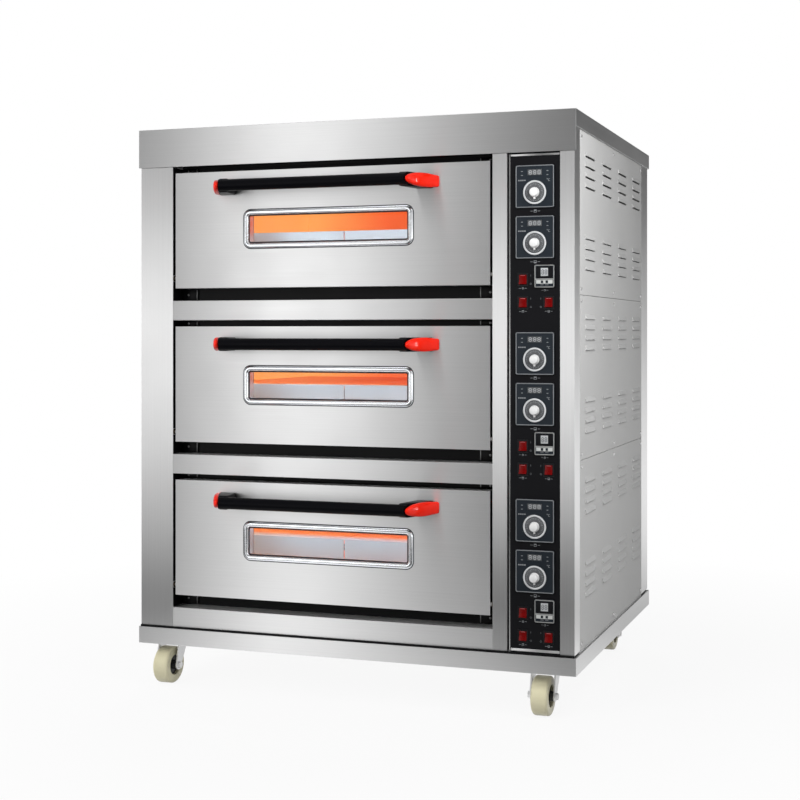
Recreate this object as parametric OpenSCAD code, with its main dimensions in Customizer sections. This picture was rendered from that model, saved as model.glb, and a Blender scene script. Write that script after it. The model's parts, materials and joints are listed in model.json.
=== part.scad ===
// Three-deck electric baking oven on castors.
// Frame: +X to the right, +Y to the back, +Z up, millimetres.
// The origin is on the floor under the middle of the whole footprint, handles and gland included.

/* [Body] */
// Width across the header and the skirt
body_w = 1235; // [1180:5:1400]
// Depth from the front of the header to its back
body_d = 960; // [920:5:1150]
// Height of the header on the front
header_h = 104; // [80:1:140]
// Height of the header's band on the sides and the back
side_band_h = 43; // [30:1:60]
// Height of the base skirt
skirt_h = 45; // [40:1:60]
// Height of the shadow gap between the skirt and the body
seam_h = 5; // [3:0.5:10]
// How far the shadow gap is set in from the skirt
plinth_in = 12; // [9:1:20]
// Width of the raised ring that the body stands on
plinth_w = 60; // [40:1:90]
// How far the header and the skirt stand proud of the posts and panels
step = 5; // [5:0.5:8]
// Sheet thickness of the skirt, header, posts and rails
shell_t = 1.5; // [1.2:0.1:2.5]
// Thickness of the base deck that carries the body
base_deck_t = 2.5; // [2:0.5:6]

/* [Columns] */
// Width of the wide left post
left_post_w = 98; // [70:1:120]
// Width of the post between the doors and the controls
mullion_w = 38; // [30:1:50]
// Width of the right post
right_post_w = 37; // [30:1:50]
// Depth of the front posts
post_d = 55; // [54:1:65]
// Width of a rear post
rear_post_w = 40; // [30:1:60]
// Depth of a rear post
rear_post_d = 95; // [70:1:110]
// Width of the black control fascia
fascia_w = 129; // [125:1:150]
// Groove between the fascia and its post
groove_w = 9; // [6:0.5:12]

/* [Decks] */
// Height from one deck to the next
deck_pitch = 418; // [400:1:450]
// Height of the rail under a door
rail_h = 53; // [40:1:60]
// Gap under a door, where its lower edge swings
gap_below = 34; // [30:1:40]
// Gap over a door
gap_above = 17; // [12:1:24]
// Gap at each side of a door
door_gap = 7; // [5:0.5:9]

/* [Doors] */
// Thickness of a door
door_t = 38; // [34:0.5:39]
// How far the door face lies behind the posts
door_set_back = 2; // [1:0.5:3]
// Sheet thickness of a door
door_sheet = 1.5; // [1.2:0.1:2]
// Radius of a hinge pin
pin_r = 5; // [4:0.1:5.5]
// Height of the hinge axis above the door's lower edge
pin_up = 27; // [24:0.5:28]
// Depth of the hinge axis behind the door face
pin_in = 8; // [8:0.5:10]
// How far a pin reaches into its bush past the gap
pin_reach = 12; // [8:0.5:16]
// Wall of a hinge bush
bush_wall = 2.2; // [1.5:0.1:2.2]
// Length of a hinge bush behind its collar
bush_l = 14; // [10:0.5:18]
// Thickness of the collar on a hinge bush
bush_collar_t = 3; // [2:0.5:4]
// Side of the square block that holds a pin
pin_block = 13; // [12:0.5:16]
// Length of the block that holds a pin
pin_block_l = 40; // [25:1:60]

/* [Windows] */
// Width of the clear window
window_w = 462; // [400:2:520]
// Height of the clear window
window_h = 80; // [60:1:110]
// Width of the bright trim round the window
trim_border = 12; // [8:0.5:18]
// How far the trim stands proud of the door
trim_t = 3.5; // [2:0.5:6]
// How far the trim's lip covers the window's edge
trim_lip = 2; // [1:0.5:4]
// Outer corner radius of the trim
trim_r = 15; // [10:0.5:18]
// Thickness of a glass pane
glass_t = 4; // [3:0.5:6]
// How far a pane is held past the clear window all round
glass_lap = 12; // [8:0.5:14]
// Wall of the sleeve that holds the panes
sleeve_t = 2; // [1.5:0.5:3]

/* [Handles] */
// Length of a handle from end to end
handle_l = 636; // [560:2:700]
// How far a handle sits left of its door's middle
handle_left = 7; // [0:1:12]
// Radius of the handle bar
bar_r = 15.5; // [12:0.5:18]
// Wall of the handle bar
bar_wall = 2; // [1.5:0.5:4]
// Distance from the door face to the bar's axis
bar_out = 84; // [60:1:92]
// Height of the bar's axis under the door's upper edge
bar_down = 47; // [40:1:55]
// How far an end bracket spreads outwards on its way to the door
bracket_spread = 48; // [36:1:60]
// Height of an end bracket
bracket_h = 36; // [35:0.5:42]
// Width of a bracket's foot on the door
foot_w = 50; // [36:1:60]
// Length of the bar's saddle on an end bracket
socket_l = 28; // [20:1:40]
// Thickness of the red cap on an end bracket
cap_t = 9; // [6:0.5:12]

/* [Side sheets] */
// Thickness of the side and rear sheets
panel_t = 1.2; // [1:0.1:2]
// Seam between one side or rear sheet and the next
sheet_gap = 1.2; // [0.3:0.1:2]
// Length of a louvre
louvre_l = 105; // [80:1:120]
// Height of a louvre
louvre_h = 12; // [9:0.5:14]
// How far a louvre stands out
louvre_out = 4; // [3:0.1:4.5]
// Pitch of the louvres along the depth
louvre_pitch = 201; // [170:1:215]
// Pitch of the louvre rows
louvre_row = 26.5; // [24:0.5:32]
// First louvre from the front of the header
louvre_start = 119; // [100:1:140]
// First louvre row under the top of a sheet
louvre_drop = 60; // [40:1:80]
// Distance between the two groups of rows on a sheet
louvre_group = 212; // [190:1:230]
// Share of a louvre's height that its slot takes in the sheet
louvre_slot = 0.6; // [0.5:0.05:0.7]

/* [Controls] */
// Thickness of the control fascia
fascia_t = 2; // [1.5:0.1:3]
// Depth of the fascia's folded edge
fascia_fold = 22; // [15:1:30]
// Width of a thermostat
thermo_w = 99; // [90:1:110]
// Height of a thermostat
thermo_h = 106; // [98:1:108]
// How far a thermostat or timer stands proud of the fascia
bezel_t = 5; // [3:0.5:8]
// Corner radius of a thermostat or timer
bezel_r = 2.5; // [1:0.5:4]
// Depth of a display under its front
recess_d = 1; // [0.5:0.1:2]
// Depth of an instrument body behind the fascia
instrument_d = 48; // [40:1:54]
// How far an instrument body is narrower than its front all round
instrument_in = 5; // [4:0.5:8]
// Outer radius of a dial ring
dial_r = 31; // [26:0.5:33]
// Width of a dial ring
dial_ring = 5; // [3:0.5:7]
// Height of a dial ring over the thermostat front
dial_lift = 1.5; // [1:0.1:3]
// Dial centre under the middle of a thermostat
dial_down = 15; // [12:0.5:18]
// Width of a thermostat's display
display_w = 39; // [30:1:46]
// Height of a thermostat's display
display_h = 16; // [12:0.5:20]
// Display centre over the middle of a thermostat
display_up = 35; // [34:0.5:38]
// Radius of a knob
knob_r = 12; // [10:0.5:15]
// Length of a knob
knob_l = 15; // [12:0.5:20]
// Radius of the scale disc under a knob
knob_disc_r = 23; // [20:0.5:24]
// Thickness of the scale disc under a knob
knob_disc_t = 2; // [1.5:0.1:3]
// Radius of a thermostat's shaft
shaft_r = 3; // [2.5:0.1:4]
// Length of a thermostat's shaft over its front
shaft_l = 11; // [8:0.5:13]
// Width of a timer
timer_w = 51; // [44:1:56]
// Height of a timer
timer_h = 57; // [50:1:62]
// Upper thermostat's centre under the deck's upper edge
upper_thermo_down = 86; // [80:1:92]
// Lower thermostat's centre under the deck's upper edge
lower_thermo_down = 213; // [204:1:216]
// Timer's centre under the deck's upper edge
timer_down = 311; // [308:1:316]
// Timer's centre to the right of the fascia's middle
timer_right = 25; // [22:1:30]
// Lamp switch's centre under the deck's upper edge
lamp_switch_down = 319; // [310:1:326]
// Heat switches' centre under the deck's upper edge
heat_switch_down = 377; // [372:1:384]
// Left switches' centre to the left of the fascia's middle
switch_left = 32; // [30:1:38]
// Right switch's centre to the right of the fascia's middle
switch_right = 35; // [30:1:40]

/* [Switches] */
// Width of a rocker
rocker_w = 20; // [16:0.5:24]
// Height of a rocker
rocker_h = 24; // [20:0.5:28]
// Depth of a rocker
rocker_d = 10; // [8:0.5:12]
// How far a rocker's face stands in front of its pivot
rocker_out = 4; // [3:0.1:5]
// Tilt of a rocker each way
rocker_tilt = 10; // [6:0.5:12]
// Wall of a switch housing beside its rocker
housing_wall = 2; // [1.8:0.1:3]
// Rim of a switch housing over the fascia, and round its pocket
housing_rim = 1.5; // [1:0.1:2.5]
// Depth of a switch housing behind the fascia
housing_d = 24; // [20:1:32]
// Radius of a rocker's pivot
pivot_r = 1.5; // [1:0.1:2]

/* [Baking chambers] */
// How far a door laps over its chamber's mouth at each side
chamber_lap = 30; // [20:1:60]
// Height of a chamber
chamber_h = 215; // [190:1:220]
// Depth of a chamber
chamber_d = 740; // [680:5:760]
// Chamber floor over the door's lower edge
chamber_up = 85; // [66:1:90]
// Sheet thickness of a chamber
liner_t = 1; // [1:0.1:3]
// Thickness of the wool round a chamber
wool_t = 50; // [40:1:55]
// Thickness of the black plate behind a door
frame_t = 2; // [1.5:0.5:4]
// Top of the hearth plates over the chamber floor
hearth_up = 70; // [60:1:80]
// Thickness of a hearth plate
hearth_t = 3; // [3:0.5:10]
// Hearth plates' front edge behind the chamber's mouth
hearth_set_back = 60; // [40:1:80]
// Gap beside and between the hearth plates
hearth_gap = 3; // [1:0.5:5]
// Radius of a heating rod
rod_r = 4; // [3.5:0.1:6]
// Distance between the two legs of a heating rod
rod_span = 60; // [40:1:80]
// Pitch of the heating rods along the depth
rod_pitch = 205; // [180:1:210]
// Upper rods' axis under the chamber's ceiling
rod_drop = 22; // [16:1:26]
// Lower rods' axis over the chamber floor
rod_rise = 32; // [24:1:40]
// Length of a rod's terminal end past the compartment wall
rod_tail = 30; // [20:1:45]
// Radius of a chamber lamp's flange
lamp_r = 20; // [16:0.5:24]
// Radius of a chamber lamp's holder
lamp_holder_r = 15; // [12:0.5:15.5]
// Length of a chamber lamp's holder
lamp_holder_l = 40; // [30:1:48]
// Lamp centre behind the chamber's mouth
lamp_back = 45; // [40:1:50]
// Lamp centre under the chamber's ceiling
lamp_drop = 34; // [28:1:50]

/* [Castors] */
// Height of the skirt's lower edge over the floor
castor_h = 118; // [112:1:140]
// Left castors' swivel axis in from the side of the skirt
castor_left_in = 58; // [56:1:90]
// Right castors' swivel axis in from the side of the skirt, under the heavier control side
castor_right_in = 100; // [80:1:120]
// Castor's swivel axis in from the front and the back of the skirt
castor_back = 97; // [95:1:150]
// Radius of a castor wheel
wheel_r = 50; // [40:0.5:52]
// Width of a castor wheel
wheel_w = 44; // [36:1:50]
// Distance from the swivel axis to the wheel's axle
castor_trail = 38; // [28:1:42]
// Radius of a castor's axle bolt
axle_r = 5; // [4:0.1:6]
// Radius of the bolt's head and nut, across their corners
nut_r = 9; // [8:0.5:11]
// Height of the bolt's head and nut
nut_h = 6.5; // [5:0.5:8]
// Radius of a fork leg's eye round the axle
fork_eye_r = 13; // [11:0.5:15]
// Radius of a wheel's hub
hub_r = 12; // [10:0.5:14]
// How far the hub stands out of a wheel's side
hub_out = 6; // [4:0.5:8]
// Radius of the dished part of a wheel's side
dish_r = 28; // [24:0.5:32]
// Depth of the dished part of a wheel's side
dish_d = 8; // [4:0.5:10]
// Radius of a wheel's rounded shoulders
shoulder_r = 7; // [4:0.5:10]
// Thickness of a castor fork
fork_t = 4; // [3:0.5:5]
// Side of a castor's top plate
castor_plate_w = 96; // [80:1:104]
// Thickness of a castor's top plate
castor_plate_t = 5; // [4:0.5:6]
// Height of the swivel race under a top plate
race_h = 7; // [5:0.5:9]
// Radius of the swivel race
race_r = 26; // [22:0.5:30]
// Radius of a castor's kingpin
kingpin_r = 6; // [5:0.1:8]

/* [Rear] */
// Radius of the cable's hole through the gland
gland_bore_r = 10; // [8:0.5:12]
// Wall of the gland
gland_wall = 5; // [4:0.5:6]
// How far the gland stands out of the rear sheet
gland_out = 30; // [20:1:40]
// How far the gland reaches inside the rear sheet
gland_inside = 18; // [12:1:24]
// Thickness of the gland's nuts
gland_nut_t = 8; // [5:0.5:10]
// Height of the gland's axis over the base
gland_up = 70; // [60:1:100]

/* [Hidden] */
DECKS = ["bottom", "middle", "top"];
CORNERS = ["front_left", "front_right", "rear_left", "rear_right"];
DOOR_PIECES = ["door_skin", "door_liner", "door_trim", "door_glass", "door_handle", "handle_ends"];
PANEL_PIECES = ["upper_knob", "lower_knob", "lamp_switch", "upper_heat_switch", "lower_heat_switch"];
BODY_PIECES = [
    "base_frame", "castor_plates", "corner_posts", "top_cover", "side_panels", "rear_panels",
    "front_rails", "door_frames", "hinge_bushes", "control_fascia", "panel_instruments",
    "switch_housings", "chamber_liners", "insulation", "hearth_plates", "heating_elements",
    "lamps", "switchgear", "cable_gland"
];
$fn = 64;

// Clearances
fit = 0.05;
seat = 0.3;
slack = 1;
overcut = 1;

// Finishes
steel = [0.76, 0.77, 0.78];
bright = [0.88, 0.89, 0.90];
black = [0.05, 0.05, 0.06];
red = [0.90, 0.10, 0.04];

// Heights
skirt_z = castor_h;
plinth_z = skirt_z + skirt_h + seam_h;
header_z = plinth_z + len(DECKS) * deck_pitch;
top_z = header_z + header_h;
under_top_z = top_z - shell_t;
door_h = deck_pitch - rail_h - gap_below - gap_above;
function deck_z(deck) = plinth_z + deck * deck_pitch;
function door_z(deck) = deck_z(deck) + rail_h + gap_below;
function pin_z(deck) = door_z(deck) + pin_up;
function window_z(deck) = door_z(deck) + door_h / 2;
function bar_z(deck) = door_z(deck) + door_h - bar_down;
function chamber_z(deck) = door_z(deck) + chamber_up;
function ceiling_z(deck) = chamber_z(deck) + chamber_h;
function panel_item_z(deck, down) = deck_z(deck) + deck_pitch - down;

// Depths, with the whole footprint's middle at zero
handle_reach = bar_out + bar_r - step - door_set_back;
front_y = (handle_reach - body_d - (gland_out - step)) / 2;
rear_y = front_y + body_d;
post_y = front_y + step;
rear_face_y = rear_y - step;
rear_post_y = rear_face_y - rear_post_d;
door_y = post_y + door_set_back;
door_back_y = door_y + door_t;
pin_y = door_y + pin_in;
frame_y = post_y + post_d;
chamber_y = frame_y + frame_t;
fascia_y = post_y + slack;
bezel_y = fascia_y - bezel_t;

// Places across the front
left_x = -body_w / 2 + step;
right_x = body_w / 2 - step;
door_w = body_w - 2 * step - left_post_w - mullion_w - groove_w - fascia_w - right_post_w - 2 * door_gap;
opening_x = left_x + left_post_w;
opening_w = door_w + 2 * door_gap;
door_x = opening_x + door_gap;
door_mid = door_x + door_w / 2;
mullion_x = opening_x + opening_w;
wall_x = mullion_x + mullion_w;
fascia_x = wall_x + groove_w;
fascia_mid = fascia_x + fascia_w / 2;
right_post_x = right_x - right_post_w;
chamber_w = door_w - 2 * chamber_lap;
chamber_x = door_mid - chamber_w / 2;

// Heating rods: middle of each rod along the depth, and its two heights in a deck
RODS = [-1, 0, 1];
function rod_y(rod) = chamber_y + chamber_d / 2 + rod * rod_pitch;
function rod_heights(deck) = [chamber_z(deck) + rod_rise, ceiling_z(deck) - rod_drop];

// Heights of the three side sheets, from the lowest
function sheet_top(deck) = top_z - side_band_h - (len(DECKS) - 1 - deck) * deck_pitch;
function sheet_low(deck) = deck == 0 ? plinth_z : sheet_top(deck - 1) + sheet_gap;
function sheet_high(deck) = deck == len(DECKS) - 1 ? under_top_z : sheet_top(deck);

// Castors
castor_top_z = skirt_z + skirt_h - base_deck_t;
race_z = castor_top_z - castor_plate_t - race_h;
fork_top_z = race_z - seat;
fork_gap = wheel_w + 2 * hub_out + 2 * slack;
function castor_x(corner) = corner % 2 == 0 ? castor_left_in - body_w / 2 : body_w / 2 - castor_right_in;
function castor_y(corner) = corner < 2 ? front_y + castor_back : rear_y - castor_back;

// Basic shapes

// Box between two corners
module box(low, high) {
    translate(low)
        cube(high - low);
}

// Rectangle with round corners, centred
module round_rect(w, h, r) {
    square([w - 2 * r, h], center = true);
    square([w, h - 2 * r], center = true);
    for (x = [-1, 1], z = [-1, 1])
        translate([x * (w / 2 - r), z * (h / 2 - r)])
            circle(r);
}

// Stands a flat outline in the XZ plane, so that it runs back from y by t
module upright(y, t) {
    translate([0, y + t, 0])
        rotate([90, 0, 0])
            linear_extrude(t)
                children();
}

// Draws a flat outline of Y and Z, and runs it along X from x by w
module along_x(x, w) {
    translate([x, 0, 0])
        rotate([90, 0, 90])
            linear_extrude(w)
                children();
}

// Cylinder along X
module rod_x(x, y, z, r, l) {
    translate([x, y, z])
        rotate([0, 90, 0])
            cylinder(r = r, h = l);
}

// Cylinder along Y
module rod_y_dir(x, y, z, r, l) {
    translate([x, y, z])
        rotate([-90, 0, 0])
            cylinder(r = r, h = l);
}

// Upright rectangular tube
module post(x, y, w, d) {
    difference() {
        box([x, y, plinth_z], [x + w, y + d, under_top_z]);
        box([x + shell_t, y + shell_t, plinth_z - overcut],
            [x + w - shell_t, y + d - shell_t, under_top_z + overcut]);
    }
}

// Body

// Skirt tray, open below, with the set-in ring on top that the body stands on
module base_frame() {
    deck_z0 = skirt_z + skirt_h;
    ring_in = plinth_in + plinth_w;
    color(steel) {
        difference() {
            box([-body_w / 2, front_y, skirt_z], [body_w / 2, rear_y, deck_z0]);
            box([-body_w / 2 + shell_t, front_y + shell_t, skirt_z - overcut],
                [body_w / 2 - shell_t, rear_y - shell_t, deck_z0 - base_deck_t]);
        }
        difference() {
            box([-body_w / 2 + plinth_in, front_y + plinth_in, deck_z0 - base_deck_t / 2],
                [body_w / 2 - plinth_in, rear_y - plinth_in, plinth_z]);
            box([-body_w / 2 + ring_in, front_y + ring_in, deck_z0 - base_deck_t],
                [body_w / 2 - ring_in, rear_y - ring_in, plinth_z + overcut]);
        }
    }
}

// Front posts, mullion and rear posts, with holes for the hinge bushes
module corner_posts() {
    color(steel)
        difference() {
            union() {
                post(left_x, post_y, left_post_w, post_d);
                post(mullion_x, post_y, mullion_w, post_d);
                post(right_post_x, post_y, right_post_w, post_d);
                post(left_x, rear_post_y, rear_post_w, rear_post_d);
                post(right_x - rear_post_w, rear_post_y, rear_post_w, rear_post_d);
            }
            for (deck = [0 : len(DECKS) - 1])
                rod_x(opening_x - shell_t - overcut, pin_y, pin_z(deck),
                    pin_r + bush_wall + fit, opening_w + 2 * (shell_t + overcut));
        }
}

// Folded cap: deep front, shallow band on the other sides
module top_cover() {
    color(bright) {
        box([-body_w / 2, front_y, under_top_z], [body_w / 2, rear_y, top_z]);
        box([-body_w / 2, front_y, header_z], [body_w / 2, front_y + shell_t, top_z]);
        box([-body_w / 2, rear_y - shell_t, top_z - side_band_h], [body_w / 2, rear_y, top_z]);
        for (x = [-body_w / 2, body_w / 2 - shell_t])
            box([x, front_y, top_z - side_band_h], [x + shell_t, rear_y, top_z]);
    }
}

// Outer wedge of a louvre, its lower edge at z = 0 and its sheet at x = 0
module louvre_hood() {
    rotate([90, 0, 0])
        linear_extrude(louvre_l)
            polygon([[-panel_t / 2, louvre_h], [0, louvre_h], [louvre_out, 0], [-panel_t / 2, 0]]);
}

// Hollow of a louvre, open below and through the sheet
module louvre_hollow() {
    rotate([90, 0, 0])
        translate([0, -seat, panel_t / 2])
            linear_extrude(louvre_l - panel_t)
                polygon([
                    [-panel_t - overcut, 0], [-panel_t - overcut, louvre_h * louvre_slot],
                    [0, louvre_h * louvre_slot + seat], [louvre_out - panel_t, 0]
                ]);
}

// Places a louvre at each place of one side sheet
module louvre_places(deck) {
    for (group = [0, 1], row = [0 : 3], column = [0 : 3])
        translate([right_x, front_y + louvre_start + louvre_l + column * louvre_pitch,
            sheet_top(deck) - louvre_drop - group * louvre_group - row * louvre_row])
            children();
}

// Louvred sheets on the right, plain ones on the left
module side_panels() {
    color(steel)
        for (deck = [0 : len(DECKS) - 1]) {
            box([left_x, frame_y, sheet_low(deck)], [left_x + panel_t, rear_post_y, sheet_high(deck)]);
            difference() {
                union() {
                    box([right_x - panel_t, frame_y, sheet_low(deck)],
                        [right_x, rear_post_y, sheet_high(deck)]);
                    louvre_places(deck)
                        louvre_hood();
                }
                louvre_places(deck)
                    louvre_hollow();
            }
        }
}

// Three rear sheets, the lowest with the gland's hole
module rear_panels() {
    color(steel)
        difference() {
            for (deck = [0 : len(DECKS) - 1])
                box([left_x + rear_post_w, rear_face_y - panel_t, sheet_low(deck)],
                    [right_x - rear_post_w, rear_face_y, sheet_high(deck)]);
            rod_y_dir(fascia_mid, rear_face_y - panel_t - overcut, plinth_z + gland_up,
                gland_bore_r + gland_wall + fit, panel_t + 2 * overcut);
        }
}

// Hollow rail under each door
module front_rails() {
    color(bright)
        for (deck = [0 : len(DECKS) - 1])
            difference() {
                box([opening_x, post_y, deck_z(deck)],
                    [opening_x + opening_w, frame_y, deck_z(deck) + rail_h]);
                box([opening_x - overcut, post_y + shell_t, deck_z(deck) + shell_t],
                    [opening_x + opening_w + overcut, frame_y - shell_t, deck_z(deck) + rail_h - shell_t]);
            }
}

// Black plate behind each door, with a collar round the mouth of its chamber
module door_frames() {
    lap = mullion_w / 2;
    color(black)
        for (deck = [0 : len(DECKS) - 1])
            difference() {
                union() {
                    box([opening_x - lap, frame_y, deck_z(deck)],
                        [opening_x + opening_w + lap, chamber_y, deck_z(deck) + deck_pitch - seat]);
                    box([chamber_x - frame_t, door_back_y + slack, chamber_z(deck) - frame_t],
                        [chamber_x + chamber_w + frame_t, chamber_y, ceiling_z(deck) + frame_t]);
                }
                box([chamber_x, post_y, chamber_z(deck)],
                    [chamber_x + chamber_w, chamber_y + overcut, ceiling_z(deck)]);
            }
}

// One bush, its collar on the face at x and its length towards side
module hinge_bush(x, side, deck) {
    translate([x, pin_y, pin_z(deck)])
        rotate([0, side * 90, 0])
            difference() {
                union() {
                    cylinder(r = pin_r + bush_wall, h = bush_l);
                    translate([0, 0, -bush_collar_t])
                        cylinder(r = pin_r + bush_wall + slack, h = bush_collar_t);
                }
                translate([0, 0, -bush_collar_t - overcut])
                    cylinder(r = pin_r + fit, h = bush_l + bush_collar_t + 2 * overcut);
            }
}

// A bush for each end of each hinge axis
module hinge_bushes() {
    color("goldenrod")
        for (deck = [0 : len(DECKS) - 1]) {
            hinge_bush(opening_x, -1, deck);
            hinge_bush(opening_x + opening_w, 1, deck);
        }
}

// Baking chambers

// Five sheets round each chamber, the right one drilled for the rods and the lamp
module chamber_liners() {
    x1 = chamber_x + chamber_w;
    y1 = chamber_y + chamber_d;
    color([0.62, 0.60, 0.57])
        for (deck = [0 : len(DECKS) - 1]) {
            low = chamber_z(deck);
            high = ceiling_z(deck);
            box([chamber_x, chamber_y, low - liner_t], [x1, y1, low]);
            box([chamber_x, chamber_y, high], [x1, y1, high + liner_t]);
            box([chamber_x - liner_t - seat, chamber_y, low - liner_t],
                [chamber_x - seat, y1, high + liner_t]);
            box([chamber_x, y1 + seat, low - liner_t], [x1, y1 + seat + liner_t, high + liner_t]);
            difference() {
                box([x1 + seat, chamber_y, low - liner_t], [x1 + seat + liner_t, y1, high + liner_t]);
                rod_holes(deck, x1, 2 * liner_t + overcut);
                lamp_hole(deck, x1, 2 * liner_t + overcut);
            }
        }
}

// Clearance holes for a deck's rods, from x along X by l
module rod_holes(deck, x, l) {
    for (rod = RODS, z = rod_heights(deck), leg = [-1, 1])
        rod_x(x, rod_y(rod) + leg * rod_span / 2, z, rod_r + seat, l);
}

// Clearance hole for a deck's lamp, from x along X by l
module lamp_hole(deck, x, l) {
    rod_x(x, chamber_y + lamp_back, ceiling_z(deck) - lamp_drop, lamp_holder_r + seat, l);
}

// Jacket of mineral wool round each chamber, open to the mouth
module insulation() {
    inner = liner_t + 2 * seat;
    outer = inner + wool_t;
    x1 = chamber_x + chamber_w;
    y1 = chamber_y + chamber_d;
    color([0.85, 0.80, 0.62])
        for (deck = [0 : len(DECKS) - 1])
            difference() {
                box([chamber_x - outer, chamber_y, chamber_z(deck) - outer],
                    [x1 + outer, y1 + outer, ceiling_z(deck) + outer]);
                box([chamber_x - inner, chamber_y - overcut, chamber_z(deck) - inner],
                    [x1 + inner, y1 + inner, ceiling_z(deck) + inner]);
                rod_holes(deck, x1, outer + overcut);
                lamp_hole(deck, x1, outer + overcut);
            }
}

// Two plates side by side on each deck, standing on their front and rear aprons
module hearth_plates() {
    plate_w = (chamber_w - 3 * hearth_gap) / 2;
    y0 = chamber_y + hearth_set_back;
    y1 = chamber_y + chamber_d - hearth_gap;
    color([0.45, 0.44, 0.42])
        for (deck = [0 : len(DECKS) - 1], side = [0, 1]) {
            x0 = chamber_x + hearth_gap + side * (plate_w + hearth_gap);
            low = chamber_z(deck);
            high = low + hearth_up;
            box([x0, y0, high - hearth_t], [x0 + plate_w, y1, high]);
            for (y = [y0, y1 - hearth_t])
                box([x0, y, low], [x0 + plate_w, y + hearth_t, high]);
        }
}

// Hairpin rods over and under each hearth, with their ends in the control compartment
module heating_elements() {
    bend_x = chamber_x + rod_span;
    color([0.35, 0.33, 0.32])
        for (deck = [0 : len(DECKS) - 1], rod = RODS, z = rod_heights(deck)) {
            for (leg = [-1, 1])
                rod_x(bend_x, rod_y(rod) + leg * rod_span / 2, z, rod_r, wall_x + rod_tail - bend_x);
            translate([bend_x, rod_y(rod), z])
                rotate([0, 0, 90])
                    rotate_extrude(angle = 180)
                        translate([rod_span / 2, 0])
                            circle(rod_r);
        }
}

// Lamp in the right wall of each chamber: flange and lens inside, holder behind
module lamps() {
    flange_t = 2;
    lens_r = lamp_holder_r - 3;
    lens_out = 6;
    color([1.0, 0.85, 0.55])
        for (deck = [0 : len(DECKS) - 1])
            translate([chamber_x + chamber_w + seat, chamber_y + lamp_back, ceiling_z(deck) - lamp_drop])
                rotate([0, -90, 0])
                    rotate_extrude()
                        polygon([
                            [0, -lamp_holder_l], [lamp_holder_r, -lamp_holder_l], [lamp_holder_r, 0],
                            [lamp_r, 0], [lamp_r, flange_t], [lens_r, lens_out], [0, lens_out]
                        ]);
}

// Controls

// Rectangles cut in the fascia for one instrument or switch
module cutout(x, z, w, h) {
    box([x - w / 2 - seat, fascia_y - overcut, z - h / 2 - seat],
        [x + w / 2 + seat, fascia_y + fascia_t + overcut, z + h / 2 + seat]);
}

// Places of a deck's three switches
function switch_place(deck, which) =
    which == 0 ? [fascia_mid - switch_left, panel_item_z(deck, lamp_switch_down)]
    : which == 1 ? [fascia_mid - switch_left, panel_item_z(deck, heat_switch_down)]
    : [fascia_mid + switch_right, panel_item_z(deck, heat_switch_down)];

// Places of a deck's two thermostats, upper and lower
function thermo_place(deck, which) =
    [fascia_mid, panel_item_z(deck, which == 0 ? upper_thermo_down : lower_thermo_down)];

housing_w = rocker_w + 2 * (seat + housing_wall);
housing_h = rocker_h + 2 * (slack + housing_wall);
thermo_body = [thermo_w - 2 * instrument_in, thermo_h - 2 * instrument_in];
timer_body = [timer_w - 2 * instrument_in, timer_h - 2 * instrument_in];

// Black front plate with a folded edge on its left, cut for instruments and switches
module control_fascia() {
    high = header_z + header_h / 2;
    color(black)
        difference() {
            union() {
                box([fascia_x, fascia_y, plinth_z], [right_post_x, fascia_y + fascia_t, high]);
                box([fascia_x, fascia_y, plinth_z], [fascia_x + fascia_t, fascia_y + fascia_fold, high]);
            }
            for (deck = [0 : len(DECKS) - 1]) {
                for (which = [0, 1])
                    cutout(thermo_place(deck, which)[0], thermo_place(deck, which)[1],
                        thermo_body[0], thermo_body[1]);
                cutout(fascia_mid + timer_right, panel_item_z(deck, timer_down),
                    timer_body[0], timer_body[1]);
                for (which = [0 : 2])
                    cutout(switch_place(deck, which)[0], switch_place(deck, which)[1], housing_w, housing_h);
            }
        }
}

// Thermostat with display recess, dial ring and shaft
module thermostat(x, z) {
    dial_z = z - dial_down;
    difference() {
        union() {
            translate([x, 0, z])
                upright(bezel_y, bezel_t)
                    round_rect(thermo_w, thermo_h, bezel_r);
            box([x - thermo_body[0] / 2, fascia_y - slack, z - thermo_body[1] / 2],
                [x + thermo_body[0] / 2, fascia_y + instrument_d, z + thermo_body[1] / 2]);
            rod_y_dir(x, bezel_y - dial_lift, dial_z, dial_r, dial_lift + slack);
        }
        box([x - display_w / 2, bezel_y - overcut, z + display_up - display_h / 2],
            [x + display_w / 2, bezel_y + recess_d, z + display_up + display_h / 2]);
        rod_y_dir(x, bezel_y - dial_lift - overcut, dial_z, dial_r - dial_ring, dial_lift + overcut);
    }
    rod_y_dir(x, bezel_y - shaft_l, dial_z, shaft_r, shaft_l + slack);
}

// Counter with a window over a strip for two digits
module timer(x, z) {
    rim = 4;
    strip_h = timer_h / 3;
    difference() {
        union() {
            translate([x, 0, z])
                upright(bezel_y, bezel_t)
                    round_rect(timer_w, timer_h, bezel_r);
            box([x - timer_body[0] / 2, fascia_y - slack, z - timer_body[1] / 2],
                [x + timer_body[0] / 2, fascia_y + instrument_d, z + timer_body[1] / 2]);
        }
        box([x - timer_w / 2 + rim, bezel_y - overcut, z - timer_h / 2 + strip_h + rim],
            [x + timer_w / 2 - rim, bezel_y + recess_d, z + timer_h / 2 - rim]);
        box([x - timer_w / 2 + rim, bezel_y - overcut, z - timer_h / 2 + rim],
            [x + timer_w / 2 - rim, bezel_y + recess_d, z - timer_h / 2 + strip_h]);
    }
}

// Two thermostats and a timer for each deck
module panel_instruments() {
    color([0.13, 0.14, 0.17])
        for (deck = [0 : len(DECKS) - 1]) {
            for (which = [0, 1])
                thermostat(thermo_place(deck, which)[0], thermo_place(deck, which)[1]);
            timer(fascia_mid + timer_right, panel_item_z(deck, timer_down));
        }
}

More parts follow.
